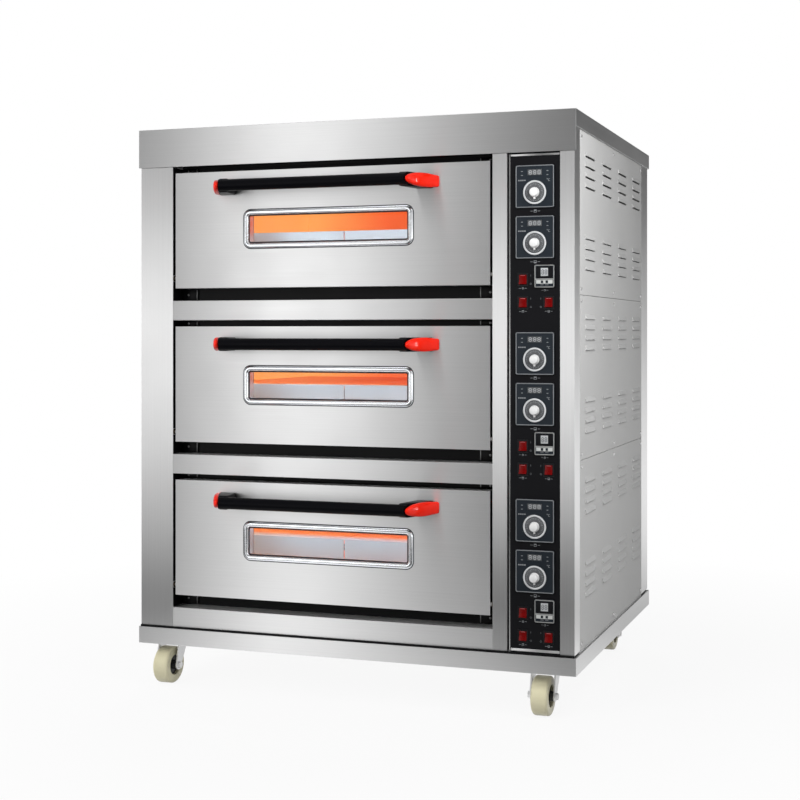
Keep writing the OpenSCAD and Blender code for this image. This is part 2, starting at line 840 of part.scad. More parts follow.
// Knob with its scale disc and pointer, turning on a thermostat's shaft
module dial_knob(deck, which) {
    place = thermo_place(deck, which);
    pointer_w = 5;
    pointer_h = 5;
    color("white")
        translate([place[0], bezel_y - seat, place[1] - dial_down])
            rotate([90, 0, 0])
                difference() {
                    union() {
                        cylinder(r = knob_disc_r, h = knob_disc_t);
                        cylinder(r = knob_r, h = knob_l);
                        translate([-pointer_w / 2, -knob_r - pointer_h, 0])
                            cube([pointer_w, knob_r + pointer_h, 2 * knob_disc_t]);
                    }
                    translate([0, 0, -overcut])
                        cylinder(r = shaft_r + fit, h = shaft_l + overcut + slack);
                }
}

// Depth of a rocker's pivot
pivot_y = fascia_y + slack;

// Housing of each switch: rim over the fascia, pocket for the rocker, holes for its pivot
module switch_housings() {
    color(black)
        for (deck = [0 : len(DECKS) - 1], which = [0 : 2]) {
            place = switch_place(deck, which);
            difference() {
                union() {
                    box([place[0] - housing_w / 2 - housing_rim, fascia_y - housing_rim,
                            place[1] - housing_h / 2 - housing_rim],
                        [place[0] + housing_w / 2 + housing_rim, fascia_y,
                            place[1] + housing_h / 2 + housing_rim]);
                    box([place[0] - housing_w / 2, fascia_y - housing_rim, place[1] - housing_h / 2],
                        [place[0] + housing_w / 2, fascia_y + housing_d, place[1] + housing_h / 2]);
                }
                box([place[0] - rocker_w / 2 - seat, fascia_y - housing_rim - overcut,
                        place[1] - rocker_h / 2 - slack],
                    [place[0] + rocker_w / 2 + seat, pivot_y + rocker_d, place[1] + rocker_h / 2 + slack]);
                rod_x(place[0] - housing_w / 2 - overcut, pivot_y, place[1], pivot_r + fit,
                    housing_w + 2 * overcut);
            }
        }
}

// Red rocker, at rest with its upper half pressed in
module rocker(deck, which) {
    place = switch_place(deck, which);
    back = rocker_d - rocker_out;
    color(red)
        translate([place[0], pivot_y, place[1]])
            rotate([-rocker_tilt, 0, 0]) {
                along_x(-rocker_w / 2, rocker_w)
                    polygon([
                        [-rocker_out, -rocker_h / 2], [-rocker_out, rocker_h / 2], [0, rocker_h / 2],
                        [back, rocker_h / 3], [back, -rocker_h / 3], [0, -rocker_h / 2]
                    ]);
                rod_x(-rocker_w / 2 - housing_wall, 0, 0, pivot_r, rocker_w + 2 * housing_wall);
            }
}

// Wall of the control compartment with a contactor for each deck and a terminal block
module switchgear() {
    contactor = [80, 45, 75];
    terminals = [30, 60, 160];
    y1 = rear_post_y - slack;
    color([0.80, 0.80, 0.74]) {
        difference() {
            box([wall_x, chamber_y + seat, plinth_z], [wall_x + shell_t, rear_post_y, header_z]);
            for (deck = [0 : len(DECKS) - 1]) {
                rod_holes(deck, wall_x - overcut, shell_t + 2 * overcut);
                lamp_hole(deck, wall_x - overcut, shell_t + 2 * overcut);
            }
        }
        for (deck = [0 : len(DECKS) - 1])
            translate([wall_x + shell_t / 2, y1 - contactor[1], deck_z(deck) + deck_pitch / 2])
                cube(contactor);
        translate([wall_x + shell_t / 2, y1 - terminals[1], plinth_z + slack])
            cube(terminals);
    }
}

// Gland in the lowest rear sheet for the supply cable
module cable_gland() {
    outer_r = gland_bore_r + gland_wall;
    color(black)
        difference() {
            union() {
                rod_y_dir(fascia_mid, rear_face_y - gland_inside, plinth_z + gland_up, outer_r,
                    gland_inside + gland_out);
                rod_y_dir(fascia_mid, rear_face_y, plinth_z + gland_up, outer_r + gland_wall, gland_nut_t);
                rod_y_dir(fascia_mid, rear_face_y - panel_t - gland_nut_t, plinth_z + gland_up,
                    outer_r + gland_wall, gland_nut_t);
            }
            rod_y_dir(fascia_mid, rear_face_y - gland_inside - overcut, plinth_z + gland_up, gland_bore_r,
                gland_inside + gland_out + 2 * overcut);
        }
}

// Doors

// Places a flat outline on the window's middle and runs it back from y by t
module at_window(deck, y, t) {
    translate([door_mid, 0, window_z(deck)])
        upright(y, t)
            children();
}

// Front sheet with folded sides, open at the back
module door_skin(deck) {
    low = [door_x, door_y, door_z(deck)];
    back_y = door_back_y - door_sheet;
    color(bright)
        difference() {
            box(low, [door_x + door_w, back_y, low[2] + door_h]);
            box([door_x + door_sheet, door_y + door_sheet, low[2] + door_sheet],
                [door_x + door_w - door_sheet, back_y + overcut, low[2] + door_h - door_sheet]);
            at_window(deck, door_y - overcut, door_sheet + 2 * overcut)
                round_rect(window_w, window_h, trim_r / 2);
            rod_x(door_x - overcut, pin_y, pin_z(deck), pin_r + seat, door_w + 2 * overcut);
        }
}

// Back sheet with the sleeve for the panes, the pin blocks and the hinge pins
module door_liner(deck) {
    front_y0 = door_y + door_sheet;
    back_y = door_back_y - door_sheet;
    pocket_w = window_w + 2 * glass_lap + 2 * seat;
    pocket_h = window_h + 2 * glass_lap + 2 * seat;
    color(steel) {
        difference() {
            union() {
                box([door_x, back_y, door_z(deck)], [door_x + door_w, door_back_y, door_z(deck) + door_h]);
                at_window(deck, front_y0, back_y - front_y0 + door_sheet / 2)
                    square([pocket_w + 2 * sleeve_t, pocket_h + 2 * sleeve_t], center = true);
            }
            at_window(deck, front_y0 - overcut, back_y - front_y0 + overcut)
                square([pocket_w, pocket_h], center = true);
            at_window(deck, back_y - overcut, door_sheet + 2 * overcut)
                square([window_w, window_h], center = true);
        }
        for (side = [0, 1]) {
            inner_x = side == 0 ? door_x + door_sheet + seat
                : door_x + door_w - door_sheet - seat - pin_block_l;
            pin_x = side == 0 ? door_x - door_gap - pin_reach : inner_x;
            box([inner_x, front_y0, pin_z(deck) - pin_block / 2],
                [inner_x + pin_block_l, back_y + door_sheet / 2, pin_z(deck) + pin_block / 2]);
            rod_x(pin_x, pin_y, pin_z(deck), pin_r,
                pin_reach + door_gap + door_sheet + seat + pin_block_l);
        }
    }
}

// Bright frame on the window's edge, with a lip through the sheet
module door_trim(deck) {
    color("silver")
        difference() {
            union() {
                at_window(deck, door_y - trim_t, trim_t)
                    round_rect(window_w + 2 * trim_border, window_h + 2 * trim_border, trim_r);
                at_window(deck, door_y - trim_t, trim_t + door_sheet - fit)
                    round_rect(window_w - 2 * fit, window_h - 2 * fit, trim_r / 2);
            }
            at_window(deck, door_y - trim_t - overcut, trim_t + door_sheet + 2 * overcut)
                round_rect(window_w - 2 * trim_lip, window_h - 2 * trim_lip, trim_r / 2);
        }
}

// Outer and inner pane, each against its sheet
module door_glass(deck) {
    w = window_w + 2 * glass_lap;
    h = window_h + 2 * glass_lap;
    color([0.95, 0.55, 0.25, 0.5])
        for (y = [door_y + door_sheet, door_back_y - door_sheet - glass_t])
            at_window(deck, y, glass_t)
                square([w, h], center = true);
}

// Plan of a handle end: the cap's outer face slants from the foot to the nose in front of the bar
half_l = handle_l / 2;
handle_mid = door_mid - handle_left;
nose_out = bar_out + bar_r;
cap_run = norm([bracket_spread, nose_out]);
cap_foot = cap_t * cap_run / nose_out;
cap_angle = atan2(nose_out, -bracket_spread);
function bracket_edge(out) = half_l - cap_foot - bracket_spread * out / nose_out;

// Mirrors its children to both ends of a deck's handle, with out from the door as +Y
module at_handle_ends(deck) {
    for (side = [0, 1])
        translate([handle_mid, door_y, bar_z(deck)])
            mirror([side, 0, 0])
                mirror([0, 1, 0])
                    children();
}

// Frame of a cap: X along its slant from the foot, +Y through its thickness
module on_slant() {
    translate([half_l, 0, 0])
        rotate([0, 0, cap_angle])
            children();
}

// Black mitred bar and the two black brackets that carry it
module door_handle(deck) {
    color(black) {
        difference() {
            rod_x(handle_mid - half_l, door_y - bar_out, bar_z(deck), bar_r, handle_l);
            rod_x(handle_mid - half_l - overcut, door_y - bar_out, bar_z(deck), bar_r - bar_wall,
                handle_l + 2 * overcut);
            at_handle_ends(deck)
                on_slant()
                    box([-cap_run, -cap_run, -bracket_h], [2 * cap_run, cap_t + seat, bracket_h]);
        }
        at_handle_ends(deck)
            difference() {
                translate([0, 0, -bracket_h / 2])
                    linear_extrude(bracket_h)
                        polygon([
                            [bracket_edge(0) - foot_w, 0], [bracket_edge(0) - seat, 0],
                            [bracket_edge(bar_out) - seat, bar_out],
                            [bracket_edge(bar_out) - socket_l, bar_out]
                        ]);
                rod_x(0, bar_out, 0, bar_r + fit, half_l);
            }
    }
}

// Red cap on the slanting outer face of each bracket, with a round nose in front of the bar
module handle_ends(deck) {
    nose_r = bracket_h / 2;
    color(red)
        at_handle_ends(deck)
            difference() {
                on_slant()
                    upright(0, cap_t) {
                        translate([-cap_t, -nose_r])
                            square([cap_run + cap_t - nose_r, bracket_h]);
                        translate([cap_run - nose_r, 0])
                            circle(nose_r);
                    }
                box([0, -cap_run, -bracket_h], [handle_l, 0, bracket_h]);
            }
}

// Castors

// Moves its children to a castor's swivel axis
module at_castor(corner) {
    translate([castor_x(corner), castor_y(corner), 0])
        children();
}

// Top plate and swivel race of each castor
module castor_plates() {
    color("silver")
        for (corner = [0 : len(CORNERS) - 1])
            at_castor(corner)
                difference() {
                    union() {
                        translate([-castor_plate_w / 2, -castor_plate_w / 2, castor_top_z - castor_plate_t])
                            cube([castor_plate_w, castor_plate_w, castor_plate_t]);
                        translate([0, 0, race_z])
                            cylinder(r = race_r, h = race_h + castor_plate_t / 2);
                    }
                    translate([0, 0, race_z - overcut])
                        cylinder(r = kingpin_r + fit, h = race_h + castor_plate_t + 2 * overcut);
                }
}

// Fork with kingpin, two legs and the axle bolt
module castor_fork(corner) {
    crown_z = fork_top_z - fork_t;
    bolt_l = fork_gap + 2 * fork_t;
    color("silver")
        at_castor(corner) {
            translate([0, 0, crown_z])
                cylinder(r = race_r + slack, h = fork_t);
            translate([0, 0, crown_z])
                cylinder(r = kingpin_r, h = castor_top_z - seat - crown_z);
            translate([-fork_gap / 2 - fork_t, -race_r, crown_z])
                cube([fork_gap + 2 * fork_t, 2 * race_r, fork_t]);
            for (x = [-fork_gap / 2 - fork_t, fork_gap / 2])
                along_x(x, fork_t) {
                    polygon([
                        [-race_r, fork_top_z], [race_r, fork_top_z], [race_r, crown_z - fork_t],
                        [-castor_trail + fork_eye_r, wheel_r], [-castor_trail - fork_eye_r, wheel_r]
                    ]);
                    translate([-castor_trail, wheel_r])
                        circle(fork_eye_r);
                }
            rod_x(-bolt_l / 2, -castor_trail, wheel_r, axle_r, bolt_l);
            for (x = [-bolt_l / 2 - nut_h, bolt_l / 2])
                translate([x, -castor_trail, wheel_r])
                    rotate([0, 90, 0])
                        cylinder(r = nut_r, h = nut_h, $fn = 6);
        }
}

// Wheel with rounded tread, dished sides and a bore for its axle
module castor_wheel(corner) {
    half = wheel_w / 2;
    color([0.84, 0.81, 0.66])
        at_castor(corner)
            translate([0, -castor_trail, wheel_r])
                rotate([0, 90, 0])
                    rotate_extrude()
                        difference() {
                            union() {
                                translate([0, -half - hub_out])
                                    square([hub_r, wheel_w + 2 * hub_out]);
                                translate([0, -half])
                                    square([wheel_r - shoulder_r, wheel_w]);
                                translate([0, -half + shoulder_r])
                                    square([wheel_r, wheel_w - 2 * shoulder_r]);
                                for (z = [-half + shoulder_r, half - shoulder_r])
                                    translate([wheel_r - shoulder_r, z])
                                        circle(shoulder_r);
                            }
                            translate([-overcut, -half - hub_out - overcut])
                                square([axle_r + fit + overcut, wheel_w + 2 * hub_out + 2 * overcut]);
                            for (z = [-half - overcut, half - dish_d])
                                translate([hub_r, z])
                                    square([dish_r - hub_r, dish_d + overcut]);
                        }
}

// Draws the pieces
base_frame();
castor_plates();
corner_posts();
top_cover();
side_panels();
rear_panels();
front_rails();
door_frames();
hinge_bushes();
control_fascia();
panel_instruments();
switch_housings();
chamber_liners();
insulation();
hearth_plates();
heating_elements();
lamps();
switchgear();
cable_gland();
for (deck = [0 : len(DECKS) - 1]) {
    door_skin(deck);
    door_liner(deck);
    door_trim(deck);
    door_glass(deck);
    door_handle(deck);
    handle_ends(deck);
    dial_knob(deck, 0);
    dial_knob(deck, 1);
    rocker(deck, 0);
    rocker(deck, 1);
    rocker(deck, 2);
}
for (corner = [0 : len(CORNERS) - 1]) {
    castor_fork(corner);
    castor_wheel(corner);
}
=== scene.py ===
"""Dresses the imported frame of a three-deck baking oven and sets up its studio.

Sizes are in metres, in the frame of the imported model: +X to the right, +Y to
the back, +Z up, with the floor at zero.
"""

import json
import logging
import math
from collections.abc import Iterable, Mapping, Sequence
from dataclasses import dataclass
from enum import Enum
from functools import cached_property
from itertools import product

import bmesh
import bpy
from mathutils import Euler, Matrix, Vector


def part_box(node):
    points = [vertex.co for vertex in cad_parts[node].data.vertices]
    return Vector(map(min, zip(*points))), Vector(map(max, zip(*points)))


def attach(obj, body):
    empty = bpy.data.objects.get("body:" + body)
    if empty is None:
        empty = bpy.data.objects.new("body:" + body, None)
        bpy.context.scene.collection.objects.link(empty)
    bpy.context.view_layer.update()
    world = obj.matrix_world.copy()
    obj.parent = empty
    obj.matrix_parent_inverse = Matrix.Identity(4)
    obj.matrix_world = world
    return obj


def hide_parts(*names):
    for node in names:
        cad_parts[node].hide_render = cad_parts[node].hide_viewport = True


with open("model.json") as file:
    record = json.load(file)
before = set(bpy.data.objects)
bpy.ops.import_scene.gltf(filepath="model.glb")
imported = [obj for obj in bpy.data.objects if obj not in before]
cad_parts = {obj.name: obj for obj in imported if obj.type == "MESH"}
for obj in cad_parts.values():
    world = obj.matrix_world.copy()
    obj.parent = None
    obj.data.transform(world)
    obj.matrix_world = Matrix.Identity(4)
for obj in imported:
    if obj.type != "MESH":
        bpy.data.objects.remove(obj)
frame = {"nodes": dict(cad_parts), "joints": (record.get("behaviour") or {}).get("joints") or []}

LOG = logging.getLogger("oven")
BODY = "oven_body"
TO_FRONT = (0.0, -1.0, 0.0)
TO_BACK = (0.0, 1.0, 0.0)
TO_LEFT = (-1.0, 0.0, 0.0)
TO_RIGHT = (1.0, 0.0, 0.0)
SIDES = (-1, 1)

# Thickness of printed signs and of the bars of a display.
INK = 0.0003
# Loops in one plane can be bridged the wrong way round, so one of them stands back by this much.
LEAN = 0.0001
# Points this close are one point in a turned shape, and in the loose triangles of a node.
MERGE = 1e-6
WELD = 1e-5
# Nodes' faces that differ by less are one flat face, and edges sharper than this are rounded.
FLAT_ANGLE = math.radians(0.5)
SHARP_ANGLE = math.radians(40)

Colour = tuple[float, float, float]
Point = tuple[float, float, float]
Pair = tuple[float, float]
Loop = list[Point]
Tones = tuple[Pair, ...]
Socket = bpy.types.NodeSocket


class Deck(Enum):
    """The oven's decks, by the prefix of their nodes."""

    BOTTOM = "bottom"
    MIDDLE = "middle"
    TOP = "top"


class Corner(Enum):
    """The oven's corners, by the prefix of their castors."""

    FRONT_LEFT = "front_left"
    FRONT_RIGHT = "front_right"
    REAR_LEFT = "rear_left"
    REAR_RIGHT = "rear_right"


class Heat(Enum):
    """The two thermostats of a deck."""

    UPPER = "upper"
    LOWER = "lower"


class Switch(Enum):
    """The three rocker switches of a deck."""

    LAMP = "lamp_switch"
    UPPER = "upper_heat_switch"
    LOWER = "lower_heat_switch"


class Grain(Enum):
    """How a sheet's brushing runs: noise frequency along X, Y and Z, and the way across the lines."""

    LEVEL = ((2.0, 2.0, 420.0), (0.0, 0.12, 1.0))
    UPRIGHT = ((420.0, 420.0, 2.0), (0.92, 0.4, 0.0))


class End(Enum):
    """The two ends of a handle, by their side along X."""

    LEFT = -1
    RIGHT = 1


def joint_place(name: str) -> Vector:
    """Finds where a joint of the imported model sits.

    Args:
        name: The joint's name in the record.

    Returns:
        The joint's point at rest.
    """
    for joint in frame["joints"]:
        if joint["name"] == name:
            return Vector(joint["pos_m"])
    raise KeyError(name)


class NodeBench:
    """Lays out the nodes of one material, or of the world, round its shader."""

    def __init__(self, owner: bpy.types.Material | bpy.types.World, shader: str = "Principled BSDF") -> None:
        """Starts from the default nodes.

        Args:
            owner: The material or the world.
            shader: The name of its shader node.
        """
        owner.use_nodes = True
        self.tree = owner.node_tree
        self.shader = self.tree.nodes[shader]

    def set(self, **sockets: object) -> None:
        """Sets constants on the shader, by socket name with _ for a space."""
        for name, value in sockets.items():
            self.shader.inputs[name.replace("_", " ")].default_value = value

    def wire(self, source: Socket, name: str) -> None:
        """Links a socket to a named socket of the shader."""
        self.tree.links.new(source, self.shader.inputs[name])

    def feed(self, socket: Socket, value: Socket | float | Sequence[float]) -> None:
        """Links another socket to a socket, or sets a constant on it.

        Args:
            socket: The socket that gets the value.
            value: A socket, a number or a vector.
        """
        if isinstance(value, Socket):
            self.tree.links.new(value, socket)
        else:
            socket.default_value = value

    def node(self, kind: str, feeds: Mapping[str, Socket | float | Sequence[float]]) -> bpy.types.NodeOutputs:
        """Adds a node.

        Args:
            kind: The node's type name.
            feeds: What its named inputs get.

        Returns:
            The new node's outputs.
        """
        made = self.tree.nodes.new(kind)
        for name, value in feeds.items():
            self.feed(made.inputs[name], value)
        return made.outputs

    def coordinates(self, scale: Point = (1.0, 1.0, 1.0)) -> Socket:
        """Gives Object coordinates.

        Args:
            scale: What they are scaled by along each axis.

        Returns:
            The vector's socket.
        """
        texture = self.node("ShaderNodeTexCoord", {})
        return self.node("ShaderNodeMapping", {"Vector": texture["Object"], "Scale": scale})["Vector"]

    def axes(self) -> bpy.types.NodeOutputs:
        """Gives the three Object coordinates, by the names X, Y and Z."""
        return self.node("ShaderNodeSeparateXYZ", {"Vector": self.coordinates()})

    def noise(self, vector: Socket, scale: float, detail: float) -> Socket:
        """Gives a noise value over a vector."""
        return self.node("ShaderNodeTexNoise", {"Vector": vector, "Scale": scale, "Detail": detail})["Fac"]

    def ramp(self, factor: Socket, stops: Sequence[tuple[float, Colour]]) -> Socket:
        """Gives a colour along a ramp.

        Args:
            factor: The value that moves along the ramp.
            stops: Place and colour of each stop, from low to high.

        Returns:
            The ramp's colour socket.
        """
        made = self.tree.nodes.new("ShaderNodeValToRGB")
        elements = made.color_ramp.elements
        while len(elements) < len(stops):
            elements.new(1.0)
        for element, (place, colour) in zip(elements, stops):
            element.position = place
            element.color = (*colour, 1.0)
        self.feed(made.inputs["Fac"], factor)
        return made.outputs["Color"]

    def spread(self, factor: Socket, low: float, high: float, start: float = 0.0, end: float = 1.0) -> Socket:
        """Maps a value to a new range, and holds it there.

        Args:
            factor: The value.
            low: What start becomes.
            high: What end becomes.
            start: Where the value's own range starts.
            end: Where it ends.

        Returns:
            The new value's socket.
        """
        return self.node("ShaderNodeMapRange", {
            "Value": factor, "From Min": start, "From Max": end, "To Min": low, "To Max": high})["Result"]

    def math(self, operation: str, *values: Socket | float) -> Socket:
        """Gives the result of a sum of sockets and numbers.

        Args:
            operation: The Math node's operation.
            values: Its inputs, in order.

        Returns:
            The result's socket.
        """
        made = self.tree.nodes.new("ShaderNodeMath")
        made.operation = operation
        for socket, value in zip(made.inputs, values):
            self.feed(socket, value)
        return made.outputs["Value"]

    def seen(self) -> Socket:
        """Tells what is seen, mirrored or looked through from what only gives light.

        Returns:
            A value of one for rays from the camera, mirrors and glass, and of zero for the rest.
        """
        path = self.node("ShaderNodeLightPath", {})
        direct = self.math("ADD", path["Is Camera Ray"], path["Is Glossy Ray"])
        return self.math("MINIMUM", self.math("ADD", direct, path["Is Transmission Ray"]), 1.0)

    def bump(self, *heights: tuple[Socket, float, float]) -> None:
        """Chains bumps into the shader's normal.

        Args:
            heights: Height socket, strength and distance of each bump.
        """
        chain = {}
        for height, strength, distance in heights:
            made = self.node("ShaderNodeBump", {
                "Height": height, "Strength": strength, "Distance": distance, **chain})
            chain = {"Normal": made["Normal"]}
        self.wire(chain["Normal"], "Normal")


@dataclass(frozen=True)
class Finish:
    """A surface, and the record's slot for it."""

    name: str
    slot: str

    @cached_property
    def material(self) -> bpy.types.Material:
        """The finish's material, made once.

        Returns:
            The material.
        """
        made = bpy.data.materials.new(self.name)
        self.lay_out(NodeBench(made))
        return made

    def lay_out(self, bench: NodeBench) -> None:
        """Lays out the finish's nodes."""
        raise NotImplementedError


def shade(colour: Colour, factor: float) -> Colour:
    """Scales a colour, and keeps it within range."""
    return tuple(min(1.0, part * factor) for part in colour)


@dataclass(frozen=True)
class BrushedSteel(Finish):
    """Stainless sheet with fine brushing, faint waves and handling marks."""

    grain: Grain
    tone: Colour = (0.70, 0.70, 0.70)
    roughness: float = 0.33
    contrast: float = 0.03
    wave: float = 0.02

    def lay_out(self, bench: NodeBench) -> None:
        """Lays out the brushing, with the waves and marks under it.

        Args:
            bench: The material's nodes.
        """
        frequency, across = self.grain.value
        bench.set(Metallic=1.0, Anisotropic=0.95)
        bench.wire(bench.node("ShaderNodeCombineXYZ", dict(zip("XYZ", across)))["Vector"], "Tangent")
        lines = bench.noise(bench.coordinates(frequency), scale=1.0, detail=4.0)
        marks = bench.noise(bench.coordinates(), scale=7.0, detail=5.0)
        waves = bench.noise(bench.coordinates(), scale=1.7, detail=1.0)
        stops = [(0.25, shade(self.tone, 1 - self.contrast)), (0.75, shade(self.tone, 1 + self.contrast))]
        bench.wire(bench.ramp(lines, stops), "Base Color")
        fine = bench.spread(lines, self.roughness - 0.05, self.roughness + 0.05)
        bench.wire(bench.math("ADD", fine, bench.spread(marks, -0.03, 0.04)), "Roughness")
        bench.bump((waves, self.wave, 0.02), (lines, 0.02, 0.0003))


@dataclass(frozen=True)
class RolledSheet(Finish):
    """Dull rolled sheet with a fine crystalline speckle."""

    tone: Colour = (0.56, 0.56, 0.556)
    roughness: float = 0.6
    metallic: float = 0.12
    specular: float = 0.15

    def lay_out(self, bench: NodeBench) -> None:
        """Lays out the speckle over faint clouds.

        Args:
            bench: The material's nodes.
        """
        bench.set(Metallic=self.metallic, Specular_IOR_Level=self.specular)
        speckle = bench.noise(bench.coordinates(), scale=240.0, detail=3.0)
        clouds = bench.noise(bench.coordinates(), scale=5.0, detail=4.0)
        mixed = bench.math("MULTIPLY_ADD", speckle, 0.35, bench.spread(clouds, 0.15, 0.5))
        stops = [(0.2, shade(self.tone, 0.9)), (0.8, shade(self.tone, 1.08))]
        bench.wire(bench.ramp(mixed, stops), "Base Color")
        bench.wire(bench.spread(clouds, self.roughness - 0.06, self.roughness + 0.06), "Roughness")
        bench.bump((speckle, 0.05, 0.0005))


@dataclass(frozen=True)
class PolishedMetal(Finish):
    """Plated or polished metal with faint polishing marks."""

    tone: Colour = (0.84, 0.86, 0.89)
    roughness: float = 0.18

    def lay_out(self, bench: NodeBench) -> None:
        """Lays out the polishing marks.

        Args:
            bench: The material's nodes.
        """
        bench.set(Metallic=1.0)
        marks = bench.noise(bench.coordinates(), scale=90.0, detail=4.0)
        bench.wire(bench.ramp(marks, [(0.3, shade(self.tone, 0.95)), (0.7, self.tone)]), "Base Color")
        bench.wire(bench.spread(marks, self.roughness * 0.6, self.roughness * 1.5), "Roughness")
        bench.bump((marks, 0.02, 0.0004))


@dataclass(frozen=True)
class Coating(Finish):
    """Paint, enamel or moulded plastic with a fine texture."""

    tone: Colour
    roughness: float = 0.35
    texture: float = 0.05
    texture_scale: float = 500.0
    variation: float = 0.08
    coat: float = 0.0
    metallic: float = 0.0
    specular: float = 0.5

    def lay_out(self, bench: NodeBench) -> None:
        """Lays out the texture and a faint change of tone.

        Args:
            bench: The material's nodes.
        """
        bench.set(Metallic=self.metallic, Specular_IOR_Level=self.specular, Coat_Weight=self.coat, Coat_Roughness=0.06)
        fine = bench.noise(bench.coordinates(), scale=self.texture_scale, detail=2.0)
        clouds = bench.noise(bench.coordinates(), scale=9.0, detail=4.0)
        stops = [(0.3, shade(self.tone, 1 - self.variation)), (0.7, shade(self.tone, 1 + self.variation))]
        bench.wire(bench.ramp(clouds, stops), "Base Color")
        bench.wire(bench.spread(clouds, self.roughness * 0.85, self.roughness * 1.2), "Roughness")
        bench.bump((fine, self.texture, 0.0003))


@dataclass(frozen=True)
class Glow(Finish):
    """A small lit or printed face that also gives a little light of its own."""

    tone: Colour
    strength: float

    def lay_out(self, bench: NodeBench) -> None:
        """Lays out the lit tone, with a fine grain.

        Args:
            bench: The material's nodes.
        """
        bench.set(Emission_Strength=self.strength, Roughness=0.3)
        cells = bench.noise(bench.coordinates(), scale=300.0, detail=1.0)
        colour = bench.ramp(cells, [(0.3, shade(self.tone, 0.92)), (0.7, self.tone)])
        bench.wire(colour, "Base Color")
        bench.wire(colour, "Emission Color")


@dataclass(frozen=True)
class WindowGlass(Finish):
    """Clear heat-proof pane with faint wiping marks."""

    tone: Colour = (0.97, 0.98, 0.97)

    def lay_out(self, bench: NodeBench) -> None:
        """Lays out the clear glass and its wiping marks.

        Args:
            bench: The material's nodes.
        """
        bench.set(Base_Color=(*self.tone, 1.0), Transmission_Weight=1.0, IOR=1.2)
        wipes = bench.noise(bench.coordinates((3.0, 3.0, 14.0)), scale=1.0, detail=4.0)
        bench.wire(bench.spread(wipes, 0.0, 0.05, 0.45, 0.85), "Roughness")


@dataclass(frozen=True)
class HotLiner(Finish):
    """Chamber sheet that glows with painted warm lamp light, paler on the left, over clouds burnt on in baking."""

    # Colours of the painted glow, from the left of the chamber to the right.
    painted_glow_left: Colour = (0.93, 0.36, 0.08)
    painted_glow_right: Colour = (0.80, 0.10, 0.012)
    strength: float = 0.85
    # Where the painted glow turns from the left colour to the right one, as shares of the chamber's width.
    glow_fade: Pair = (0.03, 0.38)

    def lay_out(self, bench: NodeBench) -> None:
        """Lays out the painted glow of warm light across the chamber, and the clouds on its sheets.

        Args:
            bench: The material's nodes.
        """
        low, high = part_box("chamber_liners")
        start, end = (low.x * (1 - share) + high.x * share for share in self.glow_fade)
        # The sheet's own glow is painted lamp light, not a lamp.
        bench.set(Metallic=0.3, Emission_Strength=self.strength)
        clouds = bench.noise(bench.coordinates(), scale=6.0, detail=5.0)
        across = bench.spread(bench.axes()["X"], 0.0, 1.0, start, end)
        tinted = bench.math("MULTIPLY_ADD", clouds, 0.25, across)
        bench.wire(bench.ramp(tinted, [(0.15, self.painted_glow_left), (1.0, self.painted_glow_right)]), "Emission Color")
        bench.wire(bench.ramp(clouds, [(0.3, (0.30, 0.16, 0.08)), (0.7, (0.42, 0.25, 0.13))]), "Base Color")
        bench.wire(bench.spread(clouds, 0.45, 0.7), "Roughness")
        bench.bump((clouds, 0.05, 0.003))


@dataclass(frozen=True)
class HearthPlate(Finish):
    """Iron plate that loading wears bright at the front, and brown from baking behind, where the brown also holds
    painted warm chamber light.
    """

    bright: Colour = (0.46, 0.57, 0.66)
    # Brown from baking, made orange to paint the warm light of the chamber on it.
    brown_and_warm_light: Colour = (0.84, 0.33, 0.085)
    worn: Pair = (0.012, 0.07)
    roughness: float = 0.42

    def lay_out(self, bench: NodeBench) -> None:
        """Lays out the worn front, the brown tone behind it with its painted warm light, and scratches.

        Args:
            bench: The material's nodes.
        """
        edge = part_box("hearth_plates")[0].y
        bench.set(Metallic=0.25)
        clouds = bench.noise(bench.coordinates(), scale=9.0, detail=5.0)
        scratches = bench.noise(bench.coordinates((160.0, 4.0, 160.0)), scale=1.0, detail=3.0)
        depth = bench.spread(bench.axes()["Y"], 0.0, 1.0, edge + self.worn[0], edge + self.worn[1])
        share = bench.math("ADD", depth, bench.spread(clouds, -0.25, 0.25))
        stops = [(0.0, shade(self.bright, 1.08)), (0.2, shade(self.bright, 0.94)), (1.0, self.brown_and_warm_light)]
        bench.wire(bench.ramp(share, stops), "Base Color")
        bench.wire(bench.spread(clouds, self.roughness - 0.08, self.roughness + 0.12), "Roughness")
        bench.bump((scratches, 0.06, 0.0004), (clouds, 0.08, 0.002))


